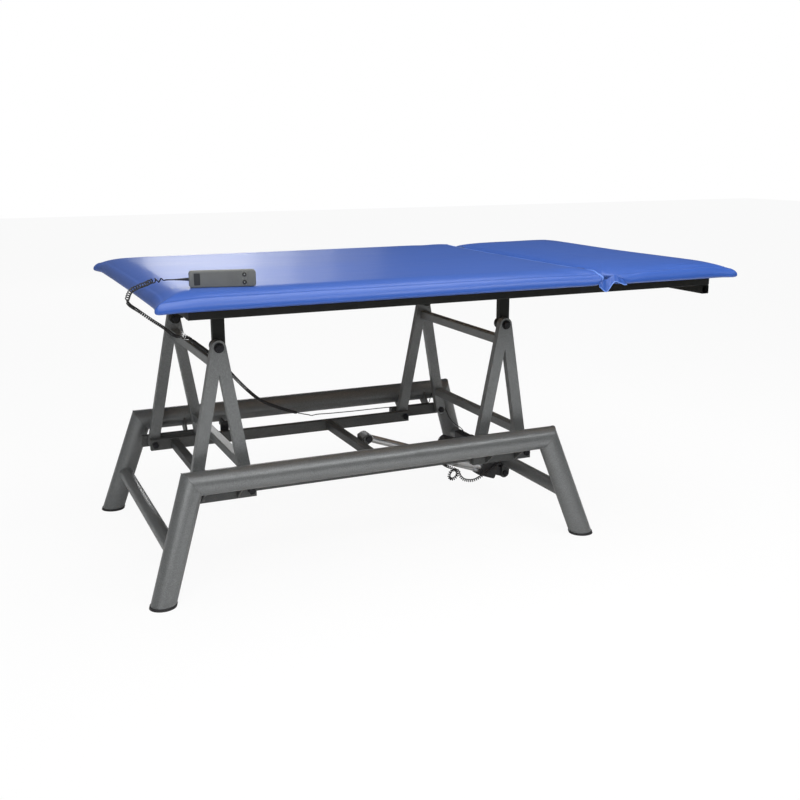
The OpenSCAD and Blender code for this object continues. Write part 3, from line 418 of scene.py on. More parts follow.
def hexagon(corner_r):
    """How far a hexagon's side lies from its middle, by direction."""
    flat = corner_r * math.cos(math.pi / 6)
    return lambda a: flat / math.cos((a % (math.pi / 3)) - math.pi / 6)


def hex_head(centre, axis, corner_r, height):
    """A bolt head with its corners taken off by a cone, and a shallow dish in the middle."""
    flat = corner_r * math.cos(math.pi / 6)
    rows = [(0, corner_r), (height - 0.0016, corner_r), (height - 0.0006, corner_r * 0.955),
            (height, flat * 0.96), (height, flat * 0.72), (height - 0.0009, flat * 0.6),
            (height - 0.0009, flat * 0.05)]
    return turned(rows, centre, axis, 48, hexagon(corner_r))


def disc(centre, axis, radius, thickness, ease=0.0006, hole=0.0):
    rows = [(0, hole), (0, radius - ease), (ease, radius), (thickness - ease, radius),
            (thickness, radius - ease), (thickness, hole)]
    return turned(rows, centre, axis)


# Cords, along the same routes as their solids
HANDSET_MIDDLE = at(-0.518, -0.478, 0.9763)
HANDSET_TURN = math.radians(-12)
handset_along = Vector((math.cos(HANDSET_TURN), math.sin(HANDSET_TURN), 0))
handset_out = Vector((math.sin(HANDSET_TURN), -math.cos(HANDSET_TURN), 0))
CASE_L, CASE_H, CASE_T = 0.190, 0.048, 0.027
LEAD_D, MOTOR_LEAD_D = 0.0036, 0.0041

lead_end = HANDSET_MIDDLE - handset_along * (CASE_L / 2 + 0.084)
hand_route = [lead_end] + [at(*p) for p in (
    (-0.703, -0.438, 0.975), (-0.713, -0.417, 0.970), (-0.718, -0.380, 0.960),
    (-0.728, -0.340, 0.950), (-0.738, -0.308, 0.940), (-0.746, -0.270, 0.926),
    (-0.748, -0.235, 0.908), (-0.745, -0.196, 0.887), (-0.732, -0.160, 0.869),
    (-0.700, -0.099, 0.843), (-0.650, -0.048, 0.802), (-0.600, 0.006, 0.763),
    (-0.560, 0.062, 0.728), (-0.530, 0.104, 0.713), (-0.508, 0.084, 0.712),
    (-0.506, 0.030, 0.712), (-0.506, -0.060, 0.712), (-0.506, -0.150, 0.712),
    (-0.506, -0.215, 0.712), (-0.496, -0.240, 0.711), (-0.476, -0.242, 0.692),
    (-0.455, -0.226, 0.662), (-0.431, -0.205, 0.630), (-0.365, -0.135, 0.560),
    (-0.295, -0.055, 0.498), (-0.200, 0.040, 0.440), (-0.109, 0.130, 0.392),
    (-0.040, 0.200, 0.360), (0.000, 0.280, 0.334), (0.040, 0.325, 0.324),
    (0.100, 0.340, 0.318), (0.200, 0.349, 0.314), (0.300, 0.349, 0.314),
    (0.400, 0.349, 0.313), (0.500, 0.350, 0.313), (0.535, 0.350, 0.3135),
    (0.552, 0.367, 0.326), (0.562, 0.383, 0.337), (0.572, 0.3847, 0.338),
    (0.582, 0.383, 0.337), (0.605, 0.380, 0.318), (0.622, 0.376, 0.286),
    (0.640, 0.358, 0.235), (0.650, 0.325, 0.215), (0.652, 0.290, 0.211),
    (0.652, 0.262, 0.205), (0.652, 0.250, 0.194),
)]
PAD_TO, DROP_TO, FRAME_TO, SPAN_TO = 8, 16, 19, 27
motor_route = [at(*p) for p in (
    (0.659, -0.044, 0.150), (0.647, -0.046, 0.144), (0.622, -0.046, 0.133),
    (0.589, -0.044, 0.111), (0.545, -0.042, 0.092), (0.505, -0.040, 0.098),
    (0.486, -0.038, 0.116), (0.480, -0.035, 0.134), (0.465, -0.032, 0.142),
    (0.448, -0.029, 0.132), (0.445, -0.026, 0.114), (0.458, -0.023, 0.102),
    (0.476, -0.020, 0.106), (0.485, -0.016, 0.122), (0.476, -0.004, 0.136),
    (0.462, 0.020, 0.140), (0.456, 0.046, 0.144), (0.457, 0.066, 0.152),
    (0.461, 0.075, 0.166), (0.4626, 0.075, 0.1746),
)]
lead_route = [at(*p) for p in (
    (0.651, 0.170, 0.150), (0.652, 0.152, 0.152), (0.662, 0.138, 0.166),
    (0.686, 0.122, 0.180), (0.706, 0.096, 0.178), (0.708, 0.050, 0.177),
    (0.708, 0.000, 0.177), (0.704, -0.026, 0.178), (0.690, -0.042, 0.177),
    (0.670, -0.047, 0.165), (0.659, -0.044, 0.150),
)]


def curve_through(route, first, last, steps=12):
    """Points of the smooth curve through the route between two of its points."""
    end = len(route) - 1
    points = []
    for i in range(first, last):
        a, b, c, d = (route[min(max(j, 0), end)] for j in range(i - 1, i + 3))
        for k in range(steps):
            t = k / steps
            points.append((2 * b + (c - a) * t + (2 * a - 5 * b + 4 * c - d) * t * t
                           + (3 * b - a - 3 * c + d) * t * t * t) / 2)
    return points + [route[last].copy()]


def lengths(points):
    total = [0.0]
    for p, q in zip(points, points[1:]):
        total.append(total[-1] + (q - p).length)
    return total


def evenly(points, count):
    """As many points at equal steps along the line."""
    far = lengths(points)
    spread, i = [], 0
    for k in range(count):
        s = far[-1] * k / (count - 1)
        while i < len(points) - 2 and far[i + 1] < s:
            i += 1
        share = (s - far[i]) / (far[i + 1] - far[i])
        spread.append(points[i].lerp(points[i + 1], min(1, max(0, share))))
    return spread


TURN_POINTS = 14


def curled(centre_line, pitch, wire_d, curl_d, lead_in=1.2):
    """The wire's line, wound round the centre line and drawn in to it at both ends."""
    turns = round(lengths(centre_line)[-1] / pitch)
    count = turns * TURN_POINTS + 1
    middle = evenly(centre_line, count)
    frames = carried_frames(directions(middle))
    line = []
    for i, (p, (u, v)) in enumerate(zip(middle, frames)):
        grow = min(1, i / TURN_POINTS / lead_in, (count - 1 - i) / TURN_POINTS / lead_in)
        r = (curl_d - wire_d) / 2 * grow * grow * (3 - 2 * grow)
        a = 2 * math.pi * i / TURN_POINTS
        line.append(p + r * (math.cos(a) * u + math.sin(a) * v))
    return line


def coil(route, first, last, turn, wire_d):
    return curled(curve_through(route, first, last), turn[0], wire_d, turn[1])


def cord_piece(name, line, wire_d, solids):
    """A lead along its own line of points."""
    points, faces = tube(line, wire_d / 2, 8)
    obj = mesh_object(name, points, faces, black_jacket, 60, tidy=False)
    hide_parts(*solids)
    lengths(line)[-1]
    return obj


# Pitch and outer diameter of the turns: open on the pad and where they hang from it
PAD_CURL, DROP_CURL = (0.0180, 0.0155), (0.0115, 0.0120)
SPAN_CURL, MOTOR_CURL = (0.0080, 0.0120), (0.0082, 0.0130)
case_end = HANDSET_MIDDLE - handset_along * CASE_L / 2
coil_start = case_end - handset_along * 0.062
wound = evenly([coil_start, lead_end], 4)[:-1] + curve_through(hand_route, 0, PAD_TO)
pad_line = evenly([case_end, coil_start], 14)[:-1]
pad_line += curled(wound, PAD_CURL[0], LEAD_D, PAD_CURL[1])
pad_cord = cord_piece("hand_cord_over_pad", pad_line, LEAD_D, ["curl_pad"])
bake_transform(pad_cord)
drop_cord = cord_piece("hand_cord_drop", coil(hand_route, PAD_TO, DROP_TO, DROP_CURL, LEAD_D),
                       LEAD_D, ["curl_drop"])
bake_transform(drop_cord)
frame_cord = cord_piece("hand_cord_on_frame",
                        coil(hand_route, DROP_TO, FRAME_TO, SPAN_CURL, LEAD_D),
                        LEAD_D, ["curl_frame"])
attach(frame_cord, "lift_left")
span_cord = cord_piece("hand_cord_span", coil(hand_route, FRAME_TO, SPAN_TO, SPAN_CURL, LEAD_D),
                       LEAD_D, ["curl_span"])
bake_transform(span_cord)
tail_line = curve_through(hand_route, SPAN_TO, len(hand_route) - 1, 8)
tail_cord = cord_piece("hand_cord_tail", tail_line, LEAD_D, ["cord_tail"])
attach(tail_cord, "base")
motor_cord = cord_piece("motor_cord_curl", coil(motor_route, 0, len(motor_route) - 1, MOTOR_CURL,
                        MOTOR_LEAD_D), MOTOR_LEAD_D, ["motor_curl"])
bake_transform(motor_cord)
motor_lead = cord_piece("motor_cord_lead", curve_through(lead_route, 0, len(lead_route) - 1, 8),
                        MOTOR_LEAD_D, ["motor_lead"])
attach(motor_lead, "base")


def strain_relief():
    """Tapered sleeve with grooves where the lead leaves the handset."""
    rows = [(0, 0.0045)]
    for k in range(7):
        s, r = 0.006 + k * 0.0045, 0.0045 - k * 0.00028
        rows += [(s, r), (s + 0.0008, r - 0.0009), (s + 0.0018, r - 0.0009),
                 (s + 0.0026, r - 0.0002)]
    rows += [(0.0375, 0.0027), (0.038, 0.0023)]
    points, faces = turned(rows, case_end, -handset_along, 24)
    sleeve = mesh_object("handset_lead_sleeve", points, faces, black_plastic, 30)
    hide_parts("handset_lead")
    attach(sleeve, "handset")


strain_relief()

# Upholstery sizes, as in the part's source
PAD_W, PAD_LEFT, PAD_RIGHT = 1.2, -0.732, 1.268
HINGE_X, GAP = 0.730, 0.006
PAD_Z, PAD_T, RISE, UNDERCUT = 0.899, 0.053, 0.036, 0.030
RECESS_SIDE, RECESS_END, BOARD_T = 0.0277, 0.0337, 0.015
LOW = [(0.15, 1, 0), (0.04, 0.87, 0.11), (0, 0.6, 0.39), (0.06, 0.3, 0.67), (0.28, 0, 1)]
HIGH = [(0.51, 0.06, 0.4), (0.75, 0.17, 0.65), (1.17, 0.32, 0.87), (1.7, 0.57, 1)]


def smooth_rows(rows, parts):
    """Rows between the given ones, on a smooth curve through them."""
    points = [Vector(row) for row in rows]
    return [tuple(p) for p in curve_through(points, 0, len(points) - 1, parts)]


def pad_rows(crown_rows):
    """Rows of a pad's side: inset from the side, inset at the hinge end, height."""
    side = [(s * PAD_T, e * UNDERCUT, h * RISE) for s, e, h in LOW]
    side += [(s * PAD_T, e * PAD_T, RISE + h * (PAD_T - RISE)) for s, e, h in HIGH]
    return smooth_rows(side + crown_rows, 2)


def arc_steps(radius):
    return 10 if radius > 0.05 else 4


def pad_loop(left, right, inset, a, b, corner_a, corner_b, draw, z, across, along, share):
    """One ring of a pad. The points run from the middle of one corner to the middle of the
    next: near the pad's edge they crowd into the corners, further in they spread evenly."""
    l, r, y = left + a, right - b, PAD_W / 2 - inset
    ca, cb = max(corner_a - inset, 0.004), max(corner_b - inset, 0.004)
    steps_a, steps_b = arc_steps(corner_a), arc_steps(corner_b)
    loop = []
    # Each side: the middles of its two corner arcs, their radii and steps, and where it faces
    sides = [
        ((r - cb, -y + cb), (r - cb, y - cb), cb, cb, steps_b, steps_b, 0, across),
        ((r - cb, y - cb), (l + ca, y - ca), cb, ca, steps_b, steps_a, 90, along),
        ((l + ca, y - ca), (l + ca, -y + ca), ca, ca, steps_a, steps_a, 180, across),
        ((l + ca, -y + ca), (r - cb, -y + cb), ca, cb, steps_a, steps_b, 270, along),
    ]
    for p, q, rp, rq, steps_p, steps_q, face, count in sides:
        out = Vector((math.cos(math.radians(face)), math.sin(math.radians(face))))
        p, q = Vector(p), Vector(q)
        arc_p, arc_q = rp * math.pi / 4, rq * math.pi / 4
        flat = (q + out * rq - p - out * rp).length
        whole = arc_p + flat + arc_q
        for i in range(count):
            if i <= steps_p:
                crowd = arc_p * i / steps_p
            elif i >= count - steps_q:
                crowd = whole - arc_q * (count - i) / steps_q
            else:
                crowd = arc_p + flat * (i - steps_p) / (count - steps_p - steps_q)
            s = whole * i / count * share + crowd * (1 - share)
            if s < arc_p:
                turn = math.radians(face) - math.pi / 4 + s / rp
                xy = p + Vector((math.cos(turn), math.sin(turn))) * rp
            elif s > whole - arc_q:
                turn = math.radians(face) + math.pi / 4 - (whole - s) / rq
                xy = q + Vector((math.cos(turn), math.sin(turn))) * rq
            else:
                t = (s - arc_p) / flat
                xy = p + out * rp + (q + out * rq - p - out * rp) * t
                xy -= out * draw * (1 - (2 * t - 1) ** 2)
            loop.append(Vector((xy.x - BASE_SHIFT, xy.y, PAD_Z + z)))
    return loop


def pad_shell(left, right, hinge_right, corner_a, corner_b, crown_rows, shrink):
    """Points and faces of one pad's cover, and the numbers of the points held on its board."""
    along, across = max(44, round((right - left) / GRID)), round(PAD_W / GRID)
    rows = pad_rows(crown_rows)
    loops = []

    def ring(side, end, height, draw, share):
        a, b = (side, end) if hinge_right else (end, side)
        loops.append(pad_loop(left, right, side, a, b, corner_a, corner_b, draw, height,
                              across, along, share))

    for height in (BOARD_T, BOARD_T / 2, 0.0):
        ring(RECESS_SIDE, RECESS_END, height, 0, 0)
    ring(0.02, RECESS_END - 0.002, 0, 0, 0)
    held = len(loops)
    for k, (side, end, height) in enumerate(rows):
        share = min(1, max(0, (k - len(rows) * 0.55) / (len(rows) * 0.45)))
        inner = shrink * min(1, height / 0.02)
        ring(side + inner, end + inner * 0.5, height - inner * (height > RISE), 0.005, share)
    n = len(loops[0])
    points = [p for loop in loops for p in loop]
    faces = []
    for k in range(len(loops) - 1):
        a, b = k * n, (k + 1) * n
        faces += [(a + i, a + (i + 1) % n, b + (i + 1) % n, b + i) for i in range(n)]
    under, sides = patch_over(points, 0, across, along, len(points))
    fixed = list(range(held * n)) + list(range(len(points), len(points) + len(under)))
    points += under
    faces += [side[::-1] for side in sides]
    top, sides = patch_over(points, (len(loops) - 1) * n, across, along, len(points))
    return points + top, faces + sides, fixed


def patch_over(points, outer, across, along, start):
    """A grid over the inside of a ring, between its four sides."""
    whole = 2 * (across + along)
    right = [outer + i for i in range(across + 1)]
    top = [outer + across + i for i in range(along + 1)]
    left = [outer + across + along + i for i in range(across + 1)]
    bottom = [outer + (2 * across + along + i) % whole for i in range(along + 1)]
    number, patch = {}, []
    for j in range(across + 1):
        number[0, j], number[along, j] = left[across - j], right[j]
    for i in range(along + 1):
        number[i, 0], number[i, across] = bottom[i], top[along - i]
    corners = [points[number[i, j]] for i, j in ((0, 0), (along, 0), (0, across), (along, across))]
    for i in range(1, along):
        for j in range(1, across):
            s, t = i / along, j / across
            p = (points[number[i, 0]] * (1 - t) + points[number[i, across]] * t
                 + points[number[0, j]] * (1 - s) + points[number[along, j]] * s
                 - corners[0] * (1 - s) * (1 - t) - corners[1] * s * (1 - t)
                 - corners[2] * (1 - s) * t - corners[3] * s * t)
            number[i, j] = start + len(patch)
            patch.append(p)
    faces = [(number[i, j], number[i + 1, j], number[i + 1, j + 1], number[i, j + 1])
             for i in range(along) for j in range(across)]
    return patch, faces


def swell(obj, held, cap):
    """The foam pushes the cover out: Cloth with pressure, held on the board, with each
    point's way capped."""
    rest = [v.co.copy() for v in obj.data.vertices]
    group = obj.vertex_groups.new(name="held")
    group.add(held, 1.0, "REPLACE")
    cloth = obj.modifiers.new("cloth", "CLOTH")
    cloth.settings.use_pressure = True
    cloth.settings.uniform_pressure_force = 4
    cloth.settings.effector_weights.gravity = 0
    cloth.settings.vertex_group_mass = "held"
    cloth.settings.quality = 4
    cloth.point_cache.frame_start, cloth.point_cache.frame_end = 1, 20
    scene = bpy.context.scene
    for number in range(1, 21):
        scene.frame_set(number)
    evaluated = obj.evaluated_get(bpy.context.evaluated_depsgraph_get())
    moved = [v.co.copy() for v in evaluated.data.vertices]
    obj.modifiers.remove(cloth)
    scene.frame_set(1)
    for vertex, start, end in zip(obj.data.vertices, rest, moved):
        way = end - start
        far = way.length
        if far > 0:
            vertex.co = start + way / far * cap * math.tanh(far / cap)
    obj.vertex_groups.clear()


def made_plain(obj):
    """Replaces the mesh by what the modifiers make of it, and removes them."""
    bpy.context.view_layer.update()
    evaluated = obj.evaluated_get(bpy.context.evaluated_depsgraph_get())
    mesh = bpy.data.meshes.new_from_object(evaluated)
    obj.modifiers.clear()
    old, obj.data = obj.data, mesh
    bpy.data.meshes.remove(old)
    mesh.name = obj.name


def subdivided(obj):
    modifier = obj.modifiers.new("finer", "SUBSURF")
    modifier.levels = modifier.render_levels = 1
    made_plain(obj)
    shade(obj.data, 60)


def drawn_down(obj, corners, reach, share):
    """The cover is drawn down at a pad's corners."""
    edge = PAD_Z + 0.014
    for vertex in obj.data.vertices:
        for x, y in corners:
            pull = math.exp(-((vertex.co.xy - at(x, y, 0).xy).length / reach) ** 2)
            if vertex.co.z > edge:
                vertex.co.z -= (vertex.co.z - edge) * share * pull


def pulled_out(obj, corners, reach, out_x, out_y, drop):
    """The cover's corners run out to a tip, whose lower edge hangs a little."""
    for vertex in obj.data.vertices:
        for x, y in corners:
            pull = math.exp(-((vertex.co.xy - at(x, y, 0).xy).length / reach) ** 2)
            if vertex.co.z > PAD_Z + 0.001:
                vertex.co.x += math.copysign(out_x, x) * pull
                vertex.co.y += math.copysign(out_y, y) * pull
            vertex.co.z -= drop * pull * pull


def gathers(obj, corners, inwards, reach, count, depth):
    """Pleats that fan out from a pad's corners, deepest at the lower edge."""
    for vertex in obj.data.vertices:
        for x, y in corners:
            d = vertex.co.xy - at(x, y, 0).xy
            rise = (vertex.co.z - PAD_Z) / PAD_T
            if d.length > reach or not 0.02 < rise < 0.95:
                continue
            angle = abs(math.atan2(d.y, d.x * inwards))
            wave = math.sin(angle * count + 1.7 * noise.noise(vertex.co * 30))
            fan = math.exp(-((angle - math.pi / 4) / 0.55) ** 2) * (1 - d.length / reach) ** 0.5
            fade = math.sin(math.pi * min(0.95, rise + 0.12)) ** 0.7
            vertex.co.xy += d.normalized() * depth * fade * fan * max(0, wave) ** 1.5


def cushion(name, node, body, left, right, hinge_right, corner_a, corner_b, crown_rows):
    """A pad's cover over its foam and board, which stands for the CAD's pad."""
    shrink = SWELL
    points, faces, fixed = pad_shell(
        left, right, hinge_right, corner_a, corner_b, crown_rows, shrink)
    obj = mesh_object(name, points, faces, blue_vinyl, 60, tidy=False)
    swell(obj, fixed, SWELL)
    subdivided(obj)
    end = left if hinge_right else right
    outer = [(end, y) for y in (-PAD_W / 2, PAD_W / 2)]
    gathers(obj, outer, 1 if hinge_right else -1, 0.07, 22, 0.0014)
    drawn_down(obj, outer, 0.085, 0.34)
    pulled_out(obj, outer, 0.060, 0.013, 0.009, 0.003)
    inner = [(right if hinge_right else left, y) for y in (-PAD_W / 2, PAD_W / 2)]
    if hinge_right:
        drawn_down(obj, inner, 0.06, 0.14)
        pulled_out(obj, inner, 0.045, 0.010, 0.002, 0.0)
    else:
        gathers(obj, inner, 1, 0.19, 54, 0.0034)
        drawn_down(obj, inner, 0.105, 0.36)
    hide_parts(node)
    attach(obj, body)
    return obj


GRID, SWELL = 0.020, 0.005
OUTER_R, MAIN_HINGE_R, HEAD_HINGE_R = 0.018, 0.014, 0.072
MAIN_END, HEAD_START = HINGE_X - GAP / 2, HINGE_X + GAP / 2
main_cushion = cushion(
    "main_cushion", "main_pad", "bed", PAD_LEFT, MAIN_END, True, OUTER_R, MAIN_HINGE_R, [])
head_cushion = cushion(
    "head_cushion", "head_pad", "head_section", HEAD_START, PAD_RIGHT, False, HEAD_HINGE_R, OUTER_R,
    [(0.140, 0.070, PAD_T + 0.0033), (0.200, 0.130, PAD_T + 0.006)])


def piece(name, shape, finish, slot, body, *replaced, sharp=35):
    """A piece from points and faces that rides on a body."""
    obj = mesh_object(name, *shape, finish, sharp)
    if replaced:
        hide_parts(*replaced)
    if body:
        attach(obj, body)
    return obj


# Trim of the upholstery
WELT_R, PIPING_R = 0.0030, 0.0016


def welt():
    """Piping along the main cushion's hinge end, down both corners to the lower edge."""
    mesh = main_cushion.data
    cover = BVHTree.FromPolygons([v.co for v in mesh.vertices], [p.vertices for p in mesh.polygons])
    rays = []
    for y in range(-56, 57, 2):
        rays.append((at(0.700, y / 100, 0.929), Vector((0.56, 0, 0.83))))
    for side in (-1, 1):
        turn = [(0.64, 0.10, 0.76), (0.70, 0.30, 0.62), (0.72, 0.50, 0.42), (0.70, 0.62, 0.22),
                (0.70, 0.66, -0.02), (0.70, 0.66, -0.24), (0.70, 0.64, -0.42)]
        round_corner = [(at(0.700, side * 0.572, 0.925), Vector((x, side * y, z)))
                        for x, y, z in turn]
        rays = round_corner[::-1] + rays if side < 0 else rays + round_corner
    path = []
    for target, way in rays:
        way.normalize()
        hit, normal, _, _ = cover.ray_cast(target + way * 0.15, -way)
        path.append(hit + way * 0.0008)
    path = curve_through(path, 0, len(path) - 1, 3)
    # The welt's lighter blue is a painted highlight
    piece("main_cushion_welt", tube(path, WELT_R, 8), welt_vinyl, "vinyl", "bed")


welt()


def gusset(side, name):
    """The fold of vinyl that closes the gap between the cushions at the table's edge."""
    low = [(0.699, 0.897), (0.705, 0.893), (0.715, 0.885), (0.725, 0.880), (0.734, 0.885),
           (0.747, 0.902), (0.759, 0.911), (0.772, 0.909), (0.784, 0.904), (0.797, 0.899),
           (0.806, 0.899)]
    high = [(0.699, 0.912), (0.705, 0.914), (0.716, 0.917), (0.727, 0.918), (0.738, 0.920),
            (0.749, 0.926), (0.760, 0.931), (0.772, 0.930), (0.784, 0.924), (0.797, 0.916),
            (0.806, 0.911)]
    rows = []
    for edge, out in ((low, 0.5985), (high, 0.586)):
        places = [at(x, side * out, z) for x, z in edge]
        rows.append(curve_through(places, 0, len(places) - 1, 4))
    rings = []
    for k, (a, b) in enumerate(zip(*rows)):
        wave = 0.0012 * math.sin(k * 0.9)
        front = [a.lerp(b, t) + Vector((0, side * (wave * math.sin(math.pi * t) + 0.0006), 0))
                 for t in (0, 0.33, 0.66, 1)]
        rings.append(front + [p - Vector((0, side * 0.0012, 0)) for p in front[::-1]])
    flap = piece("gusset_" + name, skin(rings), blue_vinyl, "vinyl", None, sharp=60)
    edge = piece("gusset_piping_" + name, tube(rows[0], PIPING_R, 8), welt_vinyl, "vinyl", None,
                 sharp=60)
    for obj in (flap, edge):
        at(0.722, 0, 0.9)
        at(0.762, 0, 0.9)
        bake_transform(obj)


gusset(-1, "near")
gusset(1, "far")


# Fastenings
def at_side(x, y, z, side):
    return at(x, side * y, z)


def bolt_parts(x, z, side, shaft, head_y=None, washer=False, inner=None):
    """One pivot bolt: its shaft, a head that bears outwards and a nut that bears inwards."""
    out = Vector((0, side, 0))
    long = shaft[1] - shaft[0]
    parts = [turned([(0, 0.0001), (0, 0.0068), (0.0012, BOLT_R), (long - 0.0012, BOLT_R),
                     (long, 0.0068), (long, 0.0001)], at_side(x, shaft[0], z, side), out)]
    if head_y is not None:
        if washer:
            parts.append(disc(at_side(x, head_y, z, side), out, WASHER_R, WASHER_T))
            head_y += WASHER_T
        parts.append(hex_head(at_side(x, head_y, z, side), out, HEAD_R, HEAD_T))
    if inner is not None:
        parts.append(hex_head(at_side(x, inner, z, side), -out, HEAD_R, HEAD_T))
        parts.append(turned([(0, 0.0074), (HEAD_T + 0.002, 0.0074), (HEAD_T + 0.003, 0.0064),
                             (HEAD_T + 0.003, 0.0001)], at_side(x, inner, z, side), -out, 24))
    return parts


BOLT_R, HEAD_R, HEAD_T, WASHER_R, WASHER_T = 0.008, 0.012, 0.009, 0.016, 0.003
FRAME_IN, FRAME_OUT, TIE_IN, RAIL_OUT = 0.315, 0.340, 0.288, 0.368
PIVOT_LEFT, PIVOT_RIGHT, PIVOT_Z = -0.427, 0.578, 0.288
TIE_LEFT, TIE_RIGHT, TIE_Z = -0.603, 0.402, 0.285
APEX_LEFT, APEX_RIGHT, APEX_Z = -0.504, 0.501, 0.748


def pivot_bolts():
    sides = (-1, 1)
    fixed = [part for side in sides for x, inner in ((PIVOT_LEFT, None), (PIVOT_RIGHT, FRAME_IN))
             for part in bolt_parts(x, PIVOT_Z, side, (FRAME_IN, RAIL_OUT + 0.004), RAIL_OUT,
                                    inner=inner)]
    piece("base_pivot_bolts", several(fixed), black_oxide, "black_bolts", "base",
          "fixed_pivot_bolts")
    tied = [part for side in sides for x in (TIE_LEFT, TIE_RIGHT)
            for part in bolt_parts(x, TIE_Z, side, (TIE_IN - 0.004, FRAME_OUT), inner=TIE_IN)]
    piece("tie_pivot_bolts", several(tied), black_oxide, "black_bolts", "tie_frame", "tie_bolts")
    top = [part for side in sides for x in (APEX_LEFT, APEX_RIGHT)
           for part in bolt_parts(x, APEX_Z, side, (TIE_IN - 0.004, FRAME_OUT + 0.008),
                                  FRAME_OUT + 0.0003, True, TIE_IN)]
    piece("bed_pivot_bolts", several(top), black_oxide, "black_bolts", "bed", "apex_bolts")


pivot_bolts()


# Repeated small things
def template(name, shape):
    mesh = bpy.data.meshes.new(name)
    mesh.from_pydata([tuple(p) for p in shape[0]], [], shape[1])
    mesh.polygons.foreach_set("use_smooth", [True] * len(mesh.polygons))
    obj = bpy.data.objects.new(name, mesh)
    bpy.context.scene.collection.objects.link(obj)
    return obj


def repeated(name, paths, pitch, size, unevenness, copied, finish, body):
    """Copies at equal steps along paths: Geometry Nodes, made one plain mesh. A path is
    its points and whether it is closed."""
    points, edges = [], []
    for path, closed in paths:
        start, count = len(points), len(path)
        points += [tuple(p) for p in path]
        last = count if closed else count - 1
        edges += [(start + i, start + (i + 1) % count) for i in range(last)]
    mesh = bpy.data.meshes.new(name)
    mesh.from_pydata(points, edges, [])
    obj = bpy.data.objects.new(name, mesh)
    bpy.context.scene.collection.objects.link(obj)

    tree = bpy.data.node_groups.new(name + "_steps", "GeometryNodeTree")
    face = tree.interface
    face.new_socket("Geometry", in_out="INPUT", socket_type="NodeSocketGeometry")
    named = (("Pitch", pitch), ("Size", size), ("Unevenness", unevenness))
    settings = [(face.new_socket(label, in_out="INPUT", socket_type="NodeSocketFloat"), value)
                for label, value in named]
    face.new_socket("Geometry", in_out="OUTPUT", socket_type="NodeSocketGeometry")
    given = tree.nodes.new("NodeGroupInput")
    lines, step, scale, uneven = (Wire(tree, given.outputs[i]) for i in range(4))
    line = add_node(tree, "GeometryNodeMeshToCurve", None, {"Mesh": lines})
    places = add_node(tree, "GeometryNodeCurveToPoints", {"mode": "LENGTH"}, {
        "Curve": line, "Length": step})
    chance = add_node(tree, "FunctionNodeRandomValue", {"data_type": "FLOAT"}, {"Seed": 7}, 1)
    one = add_node(tree, "GeometryNodeObjectInfo", None, {"Object": copied}, 4)
    copies = add_node(tree, "GeometryNodeInstanceOnPoints", None, {
        "Points": places, "Instance": one, "Scale": scale * (1 - uneven * chance)})
    real = add_node(tree, "GeometryNodeRealizeInstances", None, {"Geometry": copies})
    done = add_node(tree, "GeometryNodeSetMaterial", None, {"Geometry": real, "Material": finish})
    end = tree.nodes.new("NodeGroupOutput")
    tree.links.new(done.socket, end.inputs[0])

    modifier = obj.modifiers.new("steps", "NODES")
    modifier.node_group = tree
    for socket, value in settings:
        modifier[socket.identifier] = value
    made_plain(obj)
    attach(obj, body)
    return obj


def ball(radius):
    rows = [(-radius, radius * 0.05), (-radius * 0.75, radius * 0.66), (0, radius),
            (radius * 0.75, radius * 0.66), (radius, radius * 0.05)]
    return turned(rows, Vector(), Vector((0, 0, 1)), 7)


def screw_down():
    """A pan head with a socket, facing down, at the size 1 m across."""
    rows = [(0, 0.5), (0.16, 0.5), (0.3, 0.4), (0.34, 0.25), (0.34, 0.19), (0.14, 0.17),
            (0.14, 0.01)]
    return turned(rows, Vector(), Vector((0, 0, -1)), 12)


def staple(way):
    """A flattened wire staple, 1 m long, its crown below the surface it is driven in."""
    points = [way * -0.5 + Vector((0, 0, 0.06)), way * -0.5 + Vector((0, 0, -0.03)),
              way * 0.5 + Vector((0, 0, -0.03)), way * 0.5 + Vector((0, 0, 0.06))]
    return tube(points, 0.055, 5)


bead = template("weld_bead", ball(1.0))
pan_screw = template("pan_screw", screw_down())
staple_along = template("staple_along", staple(Vector((1, 0, 0))))
staple_across = template("staple_across", staple(Vector((0, 1, 0))))
TUBE_R, TUBE_Y, TUBE_Z, BEND_X = 0.038, 0.423, 0.352, 0.628
SPLAY_X, SPLAY_Y, CROSS_R, CROSS_X, CROSS_Z = 0.117, 0.057, 0.024, 0.6955, 0.149
SQUARE_TUBE, BEAD_STEP, BEAD_R = 0.030, 0.0030, 0.0021


def leg_way(side_x, side_y):
    """The way a leg runs down and out from its side tube."""
    return Vector((side_x * SPLAY_X, side_y * SPLAY_Y, -TUBE_Z)).normalized()


def mitre(side_x, side_y, steps=48):
    """The seam where a leg is mitred to its side tube."""
    bend = at(side_x * BEND_X, side_y * TUBE_Y, TUBE_Z)
    run = Vector((side_x, 0, 0))
    plane = (run + leg_way(side_x, side_y)).normalized()
    path = []
    for k in range(steps):
        a = 2 * math.pi * k / steps
        spoke = Vector((0, math.cos(a), math.sin(a))) * TUBE_R
        path.append(bend + spoke - run * (spoke.dot(plane) / run.dot(plane)))
    return path, True


def cross_seam(side_x, side_y, steps=32):
    """The seam where a lower cross tube meets a leg's inner side."""
    bend, leg = at(side_x * BEND_X, side_y * TUBE_Y, TUBE_Z), leg_way(side_x, side_y)
    path = []
    for k in range(steps):
        a = 2 * math.pi * k / steps
        start = at(side_x * CROSS_X + CROSS_R * math.cos(a), 0, CROSS_Z + CROSS_R * math.sin(a))
        start -= bend
        square = start - leg * start.dot(leg)
        across = Vector((0, side_y, 0)) - leg * leg.y * side_y
        p, q, r = across.dot(across), square.dot(across), square.dot(square) - TUBE_R ** 2
        far = side_y * (-q - math.sqrt(max(0, q * q - p * r))) / p
        path.append(bend + start + Vector((0, far, 0)))
    return path, True


